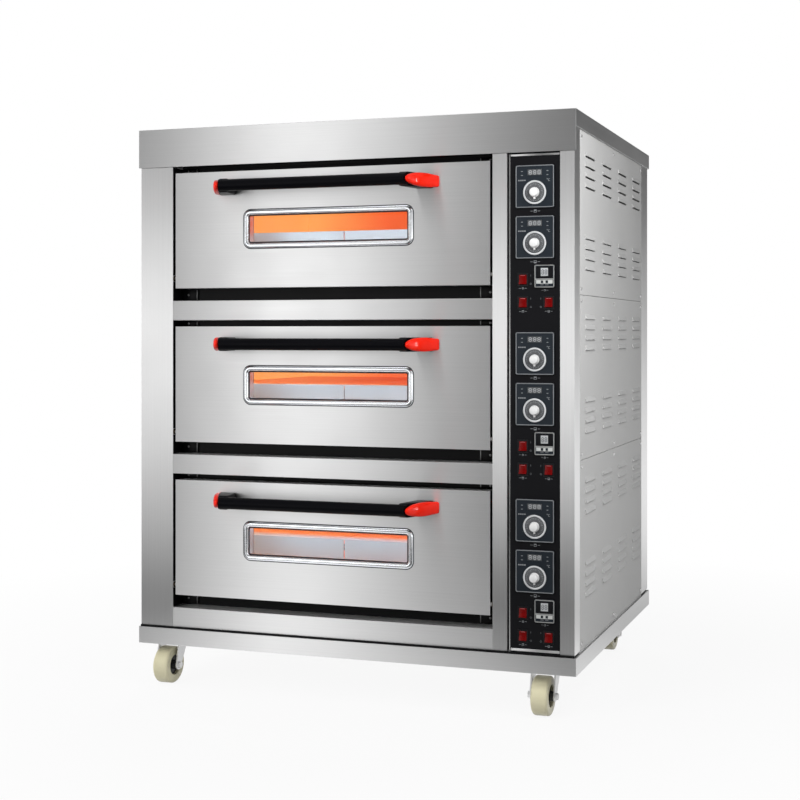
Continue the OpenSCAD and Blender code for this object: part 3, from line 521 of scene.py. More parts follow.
@dataclass(frozen=True)
class Finishes:
    """All the oven's finishes."""

    header: Finish = BrushedSteel("header_steel", "stainless", Grain.LEVEL)
    # The posts' stainless is the header's made lighter in tone: a painted lighter copy of one steel.
    post: Finish = BrushedSteel("post_steel", "stainless", Grain.UPRIGHT, (0.78, 0.78, 0.78))
    rail: Finish = BrushedSteel("rail_steel", "stainless", Grain.LEVEL)
    door: Finish = BrushedSteel("door_steel", "door_stainless", Grain.LEVEL)
    door_back: Finish = BrushedSteel("door_back_steel", "stainless_sheet", Grain.LEVEL, roughness=0.4)
    strip: Finish = BrushedSteel("edge_strip", "stainless", Grain.LEVEL, (0.78, 0.78, 0.78), 0.4)
    sheet: Finish = RolledSheet("side_sheet", "stainless_sheet")
    trim: Finish = PolishedMetal("window_trim", "trim_chrome")
    spacer: Finish = PolishedMetal("spacer_aluminium", "trim_chrome", (0.86, 0.86, 0.86), 0.34)
    screw: Finish = PolishedMetal("screw_steel", "zinc_plate", (0.62, 0.62, 0.62), 0.22)
    hinge: Finish = PolishedMetal("hinge_steel", "zinc_plate", (0.22, 0.22, 0.22), 0.3)
    zinc: Finish = RolledSheet("zinc_plating", "zinc_plate", (0.74, 0.74, 0.74), 0.35, 0.6)
    # Bronze darkened almost to black, as painted shade where the bushes sit in the door gaps.
    bronze: Finish = PolishedMetal("hinge_bronze", "bronze", (0.06, 0.045, 0.028), 0.4)
    enamel: Finish = Coating("black_enamel", "black_enamel", (0.004, 0.004, 0.0045), 0.35, specular=0.12)
    rubber: Finish = Coating("window_gasket", "black_enamel", (0.020, 0.024, 0.030), 0.5, 0.1, specular=0.3)
    fascia: Finish = Coating("fascia_black", "black_fascia", (0.004, 0.004, 0.005), 0.42, specular=0.13)
    instrument: Finish = Coating("instrument_black", "instrument_black", (0.010, 0.014, 0.019), 0.32, specular=0.25)
    housing: Finish = Coating("switch_housing", "switch_black", (0.006, 0.006, 0.007), 0.35, specular=0.25)
    grip: Finish = Coating("handle_black", "handle_black", (0.002, 0.002, 0.003), 0.30, 0.03, 900.0, specular=0.05)
    cap: Finish = Coating("handle_red", "handle_red", (0.84, 0.013, 0.001), 0.3, 0.0, 400.0, 0.02, 0.3, specular=0.1)
    rocker: Finish = Coating(
        "rocker_red", "switch_red", (0.120, 0.0004, 0.0005), 0.3, 0.0, 400.0, 0.05, 0.2, specular=0.05)
    # A printed dash on the rocker's upper edge, pale enough to also paint the highlight there.
    rocker_dash_highlight: Finish = Coating("rocker_dash_highlight", "switch_red", (0.30, 0.07, 0.07), 0.4)
    knob: Finish = Coating("knob_white", "knob_white", (0.66, 0.66, 0.66), 0.25, 0.01, 400.0, 0.02, 0.5)
    ring: Finish = Coating("dial_silver", "knob_white", (0.50, 0.51, 0.52), 0.3, 0.01, 400.0, 0.02, 0.3)
    disc: Finish = Coating("dial_disc", "instrument_black", (0.075, 0.078, 0.082), 0.35, specular=0.3)
    frame_grey: Finish = Coating("instrument_rim", "knob_white", (0.16, 0.17, 0.18), 0.35)
    print: Finish = Coating("panel_print", "knob_white", (0.22, 0.23, 0.24), 0.4)
    dim_print: Finish = Coating("dim_print", "instrument_black", (0.08, 0.085, 0.09), 0.4)
    silver: Finish = Coating("timer_silver", "knob_white", (0.22, 0.225, 0.22), 0.3, coat=0.3)
    strip_white: Finish = Coating("timer_strip", "knob_white", (0.46, 0.47, 0.46), 0.35)
    screen: Finish = Glow("display_screen", "instrument_black", (0.060, 0.063, 0.066), 0.1)
    digit: Finish = Glow("display_digits", "knob_white", (0.36, 0.37, 0.38), 0.15)
    glass: Finish = WindowGlass("window_glass", "window_glass")
    liner: Finish = HotLiner("chamber_liner", "chamber_steel")
    wool: Finish = Coating("mineral_wool", "mineral_wool", (0.62, 0.52, 0.30), 0.95, 0.8, 160.0, 0.2)
    hearth: Finish = HearthPlate("hearth_iron", "hearth_iron")
    rod: Finish = Coating("scorched_rod", "rod_steel", (0.10, 0.07, 0.055), 0.6, 0.2, 300.0, 0.3, metallic=0.6)
    lens: Finish = Glow("lamp_lens", "lamp_glass", (1.0, 0.80, 0.45), 4.0)
    switchgear: Finish = Coating("switchgear_grey", "switchgear_grey", (0.60, 0.60, 0.54), 0.5)
    gland: Finish = Coating("gland_nylon", "gland_nylon", (0.02, 0.02, 0.021), 0.5)
    nylon: Finish = Coating("castor_nylon", "castor_nylon", (0.64, 0.60, 0.41), 0.38, 0.08, 300.0, 0.05, 0.15)
    hub: Finish = Coating("castor_hub", "gland_nylon", (0.012, 0.012, 0.012), 0.5)


LOOK = Finishes()


def edges_at(verts: Iterable[bmesh.types.BMVert]) -> list[bmesh.types.BMEdge]:
    """Gives the edges that meet at some points, each one once and always in the same order."""
    return list(dict.fromkeys(edge for vert in verts for edge in vert.link_edges))


class Shape:
    """A mesh in the making, from bmesh operators."""

    def __init__(self) -> None:
        """Starts an empty shape."""
        self.bm = bmesh.new()

    def bevel(self, edges: list[bmesh.types.BMEdge], width: float, segments: int) -> None:
        """Rounds some edges.

        Args:
            edges: The edges.
            width: How far the rounding reaches from them.
            segments: How many parts it has.
        """
        bmesh.ops.bevel(
            self.bm, geom=edges, offset=width, offset_type="OFFSET", affect="EDGES",
            segments=segments, profile=0.5, material=-1, clamp_overlap=True,
        )

    def block(self, place: Matrix, size: Sequence[float], round_off: float = 0.0, segments: int = 2) -> None:
        """Adds a box with its edges rounded.

        Args:
            place: Its middle and its turn.
            size: Its size along its own axes.
            round_off: The edges' radius, or zero to leave them sharp.
            segments: How many parts a rounded edge has.
        """
        made = bmesh.ops.create_cube(self.bm, size=1.0, matrix=place @ Matrix.Diagonal((*size, 1.0)))
        if round_off > 0:
            self.bevel(edges_at(made["verts"]), round_off, segments)

    def box(self, low: Sequence[float], high: Sequence[float], round_off: float = 0.0, segments: int = 2) -> None:
        """Adds a box between two corners, with its edges rounded."""
        place = Matrix.Translation((Vector(high) + Vector(low)) / 2)
        self.block(place, Vector(high) - Vector(low), round_off, segments)

    def tab(self, middle: Sequence[float], width: float, height: float, depth: float, round_off: float = 0.0) -> None:
        """Adds a thin block that stands out to the front of a point on a face."""
        x, y, z = middle
        self.box((x - width / 2, y - depth, z - height / 2), (x + width / 2, y, z + height / 2), round_off)

    def plate(self, outline: Sequence[Sequence[float]], push: Sequence[float], round_off: float,
              segments: int) -> None:
        """Adds a flat outline extruded along a vector, with its sharp edges rounded.

        Args:
            outline: The points of the outline, in order.
            push: How far and which way it is extruded.
            round_off: The edges' radius.
            segments: How many parts a rounded edge has.
        """
        face = self.bm.faces.new([self.bm.verts.new(point) for point in outline])
        first = list(face.verts)
        grown = bmesh.ops.extrude_face_region(self.bm, geom=[face])
        verts = [item for item in grown["geom"] if isinstance(item, bmesh.types.BMVert)]
        bmesh.ops.translate(self.bm, vec=Vector(push), verts=verts)
        around = edges_at((*verts, *first))
        faces = list(dict.fromkeys(side for edge in around for side in edge.link_faces))
        bmesh.ops.recalc_face_normals(self.bm, faces=faces)
        sharp = [edge for edge in around if edge.calc_face_angle(0.0) > math.radians(35)]
        self.bevel(sharp, round_off, segments)

    def ring(self, loops: Sequence[Loop], closed: bool = True) -> None:
        """Bridges loops of points in order.

        Args:
            loops: The loops, which have the same number of points.
            closed: True to bridge the last loop to the first one, False to fill both.
        """
        rims, made = [], []
        for points in loops:
            verts = [self.bm.verts.new(point) for point in points]
            rims.append([self.bm.edges.new(pair) for pair in zip(verts, [*verts[1:], verts[0]])])
            if not closed and points in (loops[0], loops[-1]):
                made.append(self.bm.faces.new(verts))
        for one, other in zip(rims, [*rims[1:], rims[0]] if closed else rims[1:]):
            made += bmesh.ops.bridge_loops(self.bm, edges=one + other)["faces"]
        bmesh.ops.recalc_face_normals(self.bm, faces=made)

    def turned(self, centre: Sequence[float], axis: Sequence[float], profile: Sequence[Pair],
               steps: int = 48) -> None:
        """Spins a profile round an axis.

        Args:
            centre: A point on the axis.
            axis: The axis, along which the profile's second number is measured.
            profile: Radius and height of each point, from one end to the other.
            steps: How many parts a full turn has.
        """
        along = Vector(axis).normalized()
        side = along.orthogonal().normalized()
        points = [Vector(centre) + side * radius + along * height for radius, height in profile]
        verts = [self.bm.verts.new(point) for point in points]
        edges = [self.bm.edges.new(pair) for pair in zip(verts, verts[1:])]
        bmesh.ops.spin(
            self.bm, geom=verts + edges, cent=centre, axis=along, dvec=(0, 0, 0), angle=math.tau,
            space=Matrix.Identity(4), steps=steps, use_merge=True, use_normal_flip=False, use_duplicate=False,
        )
        bmesh.ops.remove_doubles(self.bm, verts=self.bm.verts, dist=MERGE)
        bmesh.ops.recalc_face_normals(self.bm, faces=self.bm.faces)

    def cut(self, point: Sequence[float], normal: Sequence[float]) -> None:
        """Cuts away what lies past a plane, and closes the cut.

        Args:
            point: A point on the plane.
            normal: The way to the side that is cut away.
        """
        done = bmesh.ops.bisect_plane(
            self.bm, geom=[*self.bm.verts, *self.bm.edges, *self.bm.faces], plane_co=point, plane_no=normal,
            clear_outer=True, clear_inner=False,
        )
        edges = [item for item in done["geom_cut"] if isinstance(item, bmesh.types.BMEdge)]
        bmesh.ops.holes_fill(self.bm, edges=edges, sides=0)

    def piece(self, name: str, finish: Finish, body: str, stands_for: Sequence[str] = (),
              smooth_to: float = 40.0) -> None:
        """Finishes the shape as a piece that rides on a body.

        Args:
            name: The piece's name.
            finish: What its surface is.
            body: The body that it moves with.
            stands_for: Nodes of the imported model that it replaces.
            smooth_to: Edges up to this angle in degrees are shaded smooth.
        """
        mesh = bpy.data.meshes.new(name)
        self.bm.to_mesh(mesh)
        self.bm.free()
        mesh.polygons.foreach_set("use_smooth", [True] * len(mesh.polygons))
        mesh.set_sharp_from_angle(angle=math.radians(smooth_to))
        mesh.materials.append(finish.material)
        made = bpy.data.objects.new(name, mesh)
        bpy.context.scene.collection.objects.link(made)
        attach(made, body)
        if stands_for:
            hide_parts(*stands_for)
        LOG.info("%s: %d faces on %s", name, len(mesh.polygons), body)


def dress(node: str, finish: Finish, edge: float = 0.0) -> None:
    """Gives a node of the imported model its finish, and rounds its sharp edges.

    Args:
        node: The node's name.
        finish: What its surface is.
        edge: Radius of the folded edges, or zero to leave them.
    """
    made = frame["nodes"][node]
    made.data.materials.clear()
    made.data.materials.append(finish.material)
    if edge > 0:
        weld = made.modifiers.new("weld", "WELD")
        weld.merge_threshold = WELD
        flat = made.modifiers.new("flat", "DECIMATE")
        flat.decimate_type = "DISSOLVE"
        flat.angle_limit = FLAT_ANGLE
        folded = made.modifiers.new("folded", "BEVEL")
        folded.width = edge
        folded.segments = 2
        folded.limit_method = "ANGLE"
        folded.angle_limit = SHARP_ANGLE
    LOG.info("%s: %s", node, finish.name)


def rounded_loop(middle: Sequence[float], width: float, height: float, radius: float, steps: int = 6) -> Loop:
    """Gives the points of an upright rounded rectangle that faces the front.

    Args:
        middle: Its centre.
        width: Its size along X.
        height: Its size along Z.
        radius: Its corners' radius.
        steps: How many parts a corner has.

    Returns:
        The points, in order round the outline.
    """
    points = []
    for quarter, (sign_x, sign_z) in enumerate([(1, 1), (-1, 1), (-1, -1), (1, -1)]):
        centre_x = middle[0] + sign_x * (width / 2 - radius)
        centre_z = middle[2] + sign_z * (height / 2 - radius)
        for step in range(steps + 1):
            angle = (quarter + step / steps) * math.pi / 2
            points.append((centre_x + radius * math.cos(angle), middle[1], centre_z + radius * math.sin(angle)))
    return points


def half_round_frame(middle: Sequence[float], width: float, height: float, radius: float, border: float,
                     rise: float, steps: int = 8) -> list[Loop]:
    """Gives the loops of a half-round frame that stands on a face and faces the front.

    Args:
        middle: The centre of the framed opening, on the face.
        width: The opening's size along X.
        height: The opening's size along Z.
        radius: The radius of the opening's corners.
        border: Width of the frame's section.
        rise: How far it stands out of the face.
        steps: How many parts the section's arc has.

    Returns:
        The loops, from the opening to the outer edge.
    """
    loops = []
    for step in range(steps + 1):
        angle = math.pi * step / steps
        grown = border / 2 * (1 - math.cos(angle))
        sunk = LEAN if step == steps else 0.0
        place = (middle[0], middle[1] - rise * math.sin(angle) + sunk, middle[2])
        loops.append(rounded_loop(place, width + 2 * grown, height + 2 * grown, radius + grown))
    return loops


def add_screw(shape: Shape, point: Sequence[float], axis: Sequence[float], radius: float) -> None:
    """Adds a pan-head screw with a dimple to a shape.

    Args:
        shape: The shape that gets the screw.
        point: Where it sits on a face.
        axis: The way out of the face.
        radius: The head's radius.
    """
    rise = radius * 0.55
    shape.turned(point, axis, [
        (0.0, rise * 0.5), (radius * 0.3, rise * 0.5), (radius * 0.4, rise), (radius * 0.75, rise * 0.9),
        (radius, rise * 0.35), (radius, 0.0), (0.0, 0.0),
    ], steps=16)


class Segment(Enum):
    """The bars of a display digit: steps across and up from its middle, and True for a level bar."""

    TOP = (0, 2, True)
    MIDDLE = (0, 0, True)
    BOTTOM = (0, -2, True)
    UPPER_LEFT = (-1, 1, False)
    UPPER_RIGHT = (1, 1, False)
    LOWER_LEFT = (-1, -1, False)
    LOWER_RIGHT = (1, -1, False)


def add_digit(shape: Shape, middle: Sequence[float], size: Pair, stroke: float) -> None:
    """Adds all seven bars of a display digit to a shape, on a face that looks to the front.

    Args:
        shape: The shape that gets the bars.
        middle: The digit's centre on the face.
        size: The digit's width and height.
        stroke: The width of a bar.
    """
    x, y, z = middle
    width, height = size
    long_w, long_h = (width - 2 * stroke) * 0.95, (height - 3 * stroke) / 2 * 0.95
    for segment in Segment:
        across, up, level = segment.value
        place = (x + across * (width - stroke) / 2, y, z + up * (height - stroke) / 4)
        shape.tab(place, long_w if level else stroke, stroke if level else long_h, INK)


def add_circle(shape: Shape, middle: Sequence[float], inner: float, outer: float, steps: int) -> None:
    """Adds a printed circle between two radii to a shape, on a face that looks to the front."""
    profile = [(inner, 0.0), (inner, INK), (outer, INK), (outer, 0.0), (inner, 0.0)]
    shape.turned(middle, TO_FRONT, profile, steps)


class Mark(Enum):
    """The plain signs printed on the control column."""

    UPPER_HEAT = "upper heat"
    LOWER_HEAT = "lower heat"
    LAMP = "lamp"
    CLOCK = "clock"


def add_mark(shape: Shape, middle: Sequence[float], kind: Mark, size: float = 0.007) -> None:
    """Adds a small printed sign with a dash on both sides to a shape.

    Args:
        shape: The shape that gets the sign.
        middle: The sign's centre on the face.
        kind: Which sign it is.
        size: Width and height of the sign.
    """
    x, y, z = middle
    line = size * 0.13
    for side in SIDES:
        shape.tab((x + side * size * 1.35, y, z), size * 0.9, line, INK)
    if kind in (Mark.UPPER_HEAT, Mark.LOWER_HEAT):
        shape.ring(flat_frame((x, y, z), size, size, line, INK))
        up = 1 if kind is Mark.UPPER_HEAT else -1
        shape.tab((x, y, z + up * size * 0.22), size * 0.6, line * 1.8, INK)
        return
    add_circle(shape, middle, size * 0.38, size * 0.5, 20)
    if kind is Mark.CLOCK:
        shape.tab((x, y, z + size * 0.14), line, size * 0.3, INK)
        shape.tab((x + size * 0.1, y, z), size * 0.22, line, INK)
    else:
        shape.tab((x, y, z), size * 0.3, size * 0.3, INK)


def flat_frame(middle: Sequence[float], width: float, height: float, border: float, rise: float) -> list[Loop]:
    """Gives the loops of a square-edged frame on a face that looks to the front.

    Args:
        middle: The frame's centre, on the face.
        width: Its outer size along X.
        height: Its outer size along Z.
        border: Width of its sides.
        rise: How far it stands out of the face.

    Returns:
        The loops, from the opening to the outer edge.
    """
    x, y, z = middle
    corner, front = border * 0.25, y - rise
    inner = (width - 2 * border, height - 2 * border)
    return [
        rounded_loop((x, place, z), *size, corner, 2)
        for place, size in [(y, inner), (front, inner), (front + LEAN, (width, height)), (y + LEAN, (width, height))]
    ]


@dataclass
class OvenBody:
    """The shell: base, posts, cap, sheets and what closes them."""

    fold: float = 0.0012
    soft: float = 0.0004
    hair: float = 0.0001
    screw_radius: float = 0.0045
    screw_inset: float = 0.016
    rear_columns: int = 5
    band_height: float = 0.043
    seams: Pair = (0.6476, 1.0656)
    gap_height: float = 0.005
    gap_depth: float = 0.007
    gap_line: float = 0.0012
    seam_lap: Pair = (0.0002, 0.0008)
    packing_inset: float = 0.0004
    strip_thickness: float = 0.002
    strip_inset: float = 0.001
    jamb_thickness: float = 0.0006
    jamb_below: float = 0.0335
    jamb_above: float = 0.0163
    jamb_inset: float = 0.0002
    bush_clear: float = 0.0092
    bush_gap: float = 0.0008
    louvre_out: float = 0.004
    louvre_start: float = 0.119
    louvre_length: float = 0.105
    louvre_pitch: float = 0.201
    louvre_row: float = 0.0265
    louvre_group: float = 0.212
    louvre_drop: float = 0.060
    louvres: tuple[int, int] = (4, 4)
    # Heights of the dark strips of painted shade under the louvres, from the highest group down.
    painted_shade_heights: tuple[float, ...] = (0.0034, 0.0020, 0.0013, 0.0008)
    painted_shade_inset: float = 0.003
    painted_shade_rise: float = 0.0004

    def build(self) -> None:
        """Dresses the shell, closes its gaps and adds its screws."""
        for node, finish, edge in [
            ("base_frame", LOOK.header, self.fold), ("corner_posts", LOOK.post, self.fold),
            ("top_cover", LOOK.header, self.fold), ("front_rails", LOOK.rail, self.fold),
            ("side_panels", LOOK.sheet, 0.0), ("rear_panels", LOOK.sheet, 0.0),
            ("door_frames", LOOK.enamel, 0.0), ("hinge_bushes", LOOK.bronze, 0.0),
            ("castor_plates", LOOK.zinc, 0.0), ("switchgear", LOOK.switchgear, 0.0),
            ("cable_gland", LOOK.gland, 0.0),
        ]:
            dress(node, finish, edge)
        self._seam()
        self._packing()
        self._head_strip()
        self._jambs()
        self._louvre_painted_shade()
        self._side_screws()
        self._rear_screws()

    def _seam(self) -> None:
        """Lays a dark strip in the front seam between the base and the posts, as painted shadow of the gap."""
        low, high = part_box("corner_posts")
        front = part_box("base_frame")[0].y
        shape = Shape()
        shape.box((low.x, front + self.fold, low.z - self.gap_height + self.hair),
                  (high.x, low.y + self.seam_lap[0], low.z + self.seam_lap[1]), self.soft)
        shape.piece("base_seam_shadow", LOOK.enamel, BODY)

    def _packing(self) -> None:
        """Packs the shadow gap under the side and rear sheets, up to a fine line."""
        low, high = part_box("corner_posts")
        near, far = (corner.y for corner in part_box("side_panels"))
        bottom, top = low.z - self.gap_height + self.hair, low.z - self.gap_line
        deep, flush = self.gap_depth - self.hair, self.packing_inset
        shape = Shape()
        for left, right in [(low.x + flush, low.x + deep), (high.x - deep, high.x - flush)]:
            shape.box((left, near, bottom), (right, far, top), self.soft)
        shape.box((low.x + deep, high.y - deep, bottom), (high.x - deep, high.y - flush, top), self.soft)
        shape.piece("base_packing", LOOK.sheet, BODY)

    def _head_strip(self) -> None:
        """Closes the slot over the top door's frame with a dark strip that stands on the frame."""
        low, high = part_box("door_frames")
        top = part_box("insulation")[1].z
        shape = Shape()
        shape.box((low.x + self.strip_inset, high.y - self.strip_thickness, high.z),
                  (high.x - self.strip_inset, high.y - self.hair, top), self.soft)
        shape.piece("head_strip", LOOK.enamel, BODY)

    def _jambs(self) -> None:
        """Lines the posts on both sides of each door in black, clear of the hinge bushes."""
        near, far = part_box("front_rails")
        front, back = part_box("corner_posts")[0].y + self.fold, far.y - self.jamb_inset
        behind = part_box("hinge_bushes")[1].y + self.bush_gap
        shape = Shape()
        for deck in Deck:
            bottom, top = (corner.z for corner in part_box(f"{deck.value}_door_skin"))
            hinge = joint_place(f"{deck.value}_door_hinge").z
            low, high = hinge - self.bush_clear, hinge + self.bush_clear
            for z1, z2, y in [(bottom - self.jamb_below, low, front), (low, high, behind),
                              (high, top + self.jamb_above, front)]:
                shape.box((near.x, y, z1), (near.x + self.jamb_thickness, back, z2))
                shape.box((far.x - self.jamb_thickness, y, z1), (far.x, back, z2))
        shape.piece("jamb_linings", LOOK.enamel, BODY)

    def _louvre_painted_shade(self) -> None:
        """Lays dark strips under the louvres of the two upper sheets as painted shade under their hoods, taller in the
        higher groups.
        """
        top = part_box("top_cover")[1].z - self.band_height
        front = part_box("top_cover")[0].y + self.louvre_start + self.painted_shade_inset
        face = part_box("side_panels")[1].x - self.louvre_out
        length = self.louvre_length - 2 * self.painted_shade_inset
        rows, columns = self.louvres
        shape = Shape()
        groups = [top, top - self.louvre_group, self.seams[1], self.seams[1] - self.louvre_group]
        for group_top, shadow_strip in zip(groups, self.painted_shade_heights):
            for row, column in product(range(rows), range(columns)):
                y = front + column * self.louvre_pitch
                z = group_top - self.louvre_drop - row * self.louvre_row
                shape.box((face, y, z - shadow_strip), (face + self.painted_shade_rise, y + length, z), self.hair, 1)
        shape.piece("louvre_painted_shade", LOOK.housing, BODY)

    def _heights(self, low: float) -> list[float]:
        """Gives the heights of the screws in the three sheets.

        Args:
            low: The sheets' lower edge.

        Returns:
            The heights, from the bottom up.
        """
        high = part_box("top_cover")[1].z - self.band_height
        edges = [low, *self.seams, high]
        return [place for a, b in zip(edges, edges[1:]) for place in (a + self.screw_inset, b - self.screw_inset)]

    def _side_screws(self) -> None:
        """Screws the side sheets at their corners and half-way along."""
        low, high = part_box("side_panels")
        places = [low.y + self.screw_inset, (low.y + high.y) / 2, high.y - self.screw_inset]
        for name, x, axis in [("left_sheet_screws", low.x, TO_LEFT),
                              ("right_sheet_screws", high.x - self.louvre_out, TO_RIGHT)]:
            shape = Shape()
            for y, z in product(places, self._heights(low.z)):
                add_screw(shape, (x, y, z), axis, self.screw_radius)
            shape.piece(name, LOOK.screw, BODY)

    def _rear_screws(self) -> None:
        """Screws the rear sheets along their edges."""
        low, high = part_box("rear_panels")
        pitch = (high.x - low.x - 2 * self.screw_inset) / (self.rear_columns - 1)
        shape = Shape()
        for column, z in product(range(self.rear_columns), self._heights(low.z)):
            x = low.x + self.screw_inset + column * pitch
            add_screw(shape, (x, high.y, z), TO_BACK, self.screw_radius)
        shape.piece("rear_sheet_screws", LOOK.screw, BODY)


@dataclass
class HingePlates:
    """Dark cover plates at both ends of the gaps round a deck's door."""

    deck: Deck
    width: float = 0.046
    thickness: float = 0.006
    seat: float = 0.002
    lower_gap: float = 0.034
    upper_gap: float = 0.017
    side_gap: float = 0.007
    side_clear: float = 0.001
    end_clear: float = 0.002
    soft: float = 0.0012
    lip: float = 0.0012
    lip_clear: float = 0.003
    lip_soft: float = 0.0004
    screw_radius: float = 0.0035
    screw_along: float = 0.45

    def build(self) -> None:
        """Makes the plates with a bright edge and a screw on each."""
        low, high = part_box(f"{self.deck.value}_door_skin")
        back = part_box("door_frames")[1].y - self.seat
        front = back - self.thickness
        plates, edges = Shape(), Shape()
        for bottom, top in [(low.z - self.lower_gap, low.z), (high.z, high.z + self.upper_gap)]:
            for x, inwards in [(low.x - self.side_gap, 1), (high.x + self.side_gap, -1)]:
                near, far = sorted((x + inwards * self.side_clear, x + inwards * self.width))
                plates.box((near, front, bottom + self.end_clear), (far, back, top - self.end_clear), self.soft)
                lip = x + inwards * (self.width + self.side_clear)
                edges.box((lip - self.lip, front - self.side_clear, bottom + self.lip_clear),
                          (lip + self.lip, back, top - self.lip_clear), self.lip_soft)
                place = (x + inwards * self.width * self.screw_along, front, (bottom + top) / 2)
                add_screw(edges, place, TO_FRONT, self.screw_radius)
        plates.piece(f"{self.deck.value}_hinge_plates", LOOK.enamel, BODY)
        edges.piece(f"{self.deck.value}_hinge_plate_edges", LOOK.hinge, BODY)


@dataclass
class ControlColumn:
    """The black front plate and the bright strips on its edges."""

    strip_rise: float = 0.0025
    strip_inset: float = 0.001
    top_strip: Pair = (0.009, 0.004)
    top_soft: float = 0.0008
    low_strip: Pair = (0.003, 0.010)
    low_soft: float = 0.0012
    side_strip: float = 0.003
    side_lap: Pair = (0.0004, 0.0005)

    def build(self) -> None:
        """Dresses the column and adds its strips."""
        dress("control_fascia", LOOK.fascia)
        dress("panel_instruments", LOOK.instrument)
        dress("switch_housings", LOOK.housing)
        low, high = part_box("control_fascia")
        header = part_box("top_cover")[0].z
        strips = Shape()
        for bottom, top, soft in [
            (header - self.top_strip[0], header - self.top_strip[1], self.top_soft),
            (low.z + self.low_strip[0], low.z + self.low_strip[1], self.low_soft),
        ]:
            strips.box((low.x + self.strip_inset, low.y - self.strip_rise, bottom),
                       (high.x - self.strip_inset, low.y, top), soft)
        strips.piece("fascia_strips", LOOK.strip, BODY)
        edge = Shape()
        edge.box((low.x - self.side_strip, low.y - self.side_lap[1], low.z + self.side_strip),
                 (low.x - self.side_lap[0], low.y + self.side_strip, header - self.side_strip), self.top_soft)
        edge.piece("fascia_edge", LOOK.screw, BODY)


@dataclass
class Thermostat:
    """One thermostat: rim, display, marks and dial ring, and the knob that turns."""

    deck: Deck
    heat: Heat
    width: float = 0.099
    height: float = 0.106
    rim: float = 0.0024
    rim_rise: float = 0.0012
    rim_corner: float = 0.002
    display_up: float = 0.035
    display: Pair = (0.0365, 0.0145)
    display_seat: float = 0.0008
    display_thickness: float = 0.0006
    digit_share: Pair = (0.22, 0.72)
    digit_pitch: float = 0.31
    digit_stroke: float = 0.0014
    soft: float = 0.0002
    pilot: Pair = (0.0045, 0.0016)
    pilot_aside: float = 0.033
    pilots_up: Pair = (0.038, 0.028)
    caption: Pair = (0.0036, 0.0030)
    caption_place: Pair = (-0.041, 0.0155)
    caption_pitch: float = 0.0052
    caption_bars: int = 4
    degree_place: Pair = (0.0325, 0.0175)
    degree_radii: Pair = (0.0007, 0.0014)
    unit_arm: Pair = (0.0036, 0.0009)
    unit_stem: Pair = (0.0009, 0.0056)
    unit_aside: Pair = (0.0375, 0.0357)
    unit_up: float = 0.0150
    unit_half: float = 0.0024
    sign_down: float = 0.0085
    dial_down: float = 0.015
    ring_radius: float = 0.0302
    ring_width: float = 0.0050
    ring_rise: float = 0.0028
    ring_lips: Pair = (0.0018, 0.0012)
    ring_bevels: Pair = (0.0012, 0.0018)
    disc_radius: float = 0.0240
    disc_bevel: float = 0.0008
    disc_heights: tuple[float, float, float] = (0.0004, 0.0016, 0.0022)
    ticks: int = 30
    tick_lengths: Pair = (0.0052, 0.0030)
    tick_width: float = 0.0010
    tick_inset: float = 0.0012
    tick_out: float = 0.0023
    long_tick_each: int = 3
    knob_radius: float = 0.0120
    knob_length: float = 0.015
    knob_seat: float = 0.0005
    pointer_half: float = 0.0026
    pointer_reach: float = 0.0052
    pointer_rise: float = 0.0048
    pointer_soft: float = 0.0010
    line_half: float = 0.0010
    line_rise: float = 0.0004
    line_sunk: float = 0.0010
    line_soft: float = 0.0003

    def build(self) -> None:
        """Makes the fixed face and the turning knob."""
        self.name = f"{self.deck.value}_{self.heat.value}"
        self.axis_place = joint_place(f"{self.name}_knob_spindle")
        self.centre = self.axis_place + Vector((0.0, 0.0, self.dial_down))
        self._face()
        self._marks()
        self._dial()
        self._disc()
        self._knob()

    def _face(self) -> None:
        """Makes the rim and the display with its digits."""
        x, y, z = self.centre
        rim = Shape()
        rim.ring(half_round_frame(self.centre, self.width - 2 * self.rim, self.height - 2 * self.rim,
                                  self.rim_corner, self.rim, self.rim_rise))
        rim.piece(f"{self.name}_thermostat_rim", LOOK.frame_grey, BODY)
        screen = Shape()
        screen.tab((x, y + self.display_seat, z + self.display_up), *self.display, self.display_thickness, self.soft)
        screen.piece(f"{self.name}_display", LOOK.screen, BODY)
        digits = Shape()
        digit = tuple(side * share for side, share in zip(self.display, self.digit_share))
        front = y + self.display_seat - self.display_thickness
        for place in (-1, 0, 1):
            add_digit(digits, (x + place * self.display[0] * self.digit_pitch, front, z + self.display_up),
                      digit, self.digit_stroke)
        digits.piece(f"{self.name}_digits", LOOK.digit, BODY)

    def _marks(self) -> None:
        """Prints the pilot marks, the caption's bars, the unit and the sign under the face."""
        x, y, z = self.centre
        marks = Shape()
        for side, up in product(SIDES, self.pilots_up):
            marks.tab((x + side * self.pilot_aside, y, z + up), *self.pilot, INK)
        across, up = self.caption_place
        for step in range(self.caption_bars):
            marks.tab((x + across + step * self.caption_pitch, y, z + up), *self.caption, INK)
        across, up = self.degree_place
        add_circle(marks, (x + across, y, z + up), *self.degree_radii, 12)
        for side in SIDES:
            marks.tab((x + self.unit_aside[0], y, z + self.unit_up + side * self.unit_half), *self.unit_arm, INK)
        marks.tab((x + self.unit_aside[1], y, z + self.unit_up), *self.unit_stem, INK)
        sign = Mark.UPPER_HEAT if self.heat is Heat.UPPER else Mark.LOWER_HEAT
        add_mark(marks, (x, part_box("control_fascia")[0].y, z - self.height / 2 - self.sign_down), sign)
        marks.piece(f"{self.name}_marks", LOOK.print, BODY)

    def _dial(self) -> None:
        """Makes the bright ring round the knob."""
        inner, outer = self.ring_radius - self.ring_width, self.ring_radius
        ring = Shape()
        ring.turned(self.axis_place, TO_FRONT, [
            (inner, 0.0), (inner, self.ring_lips[0]), (inner + self.ring_bevels[0], self.ring_rise),
            (outer - self.ring_bevels[1], self.ring_rise), (outer, self.ring_lips[1]), (outer, 0.0), (inner, 0.0),
        ], steps=64)
        ring.piece(f"{self.name}_dial_ring", LOOK.ring, BODY)

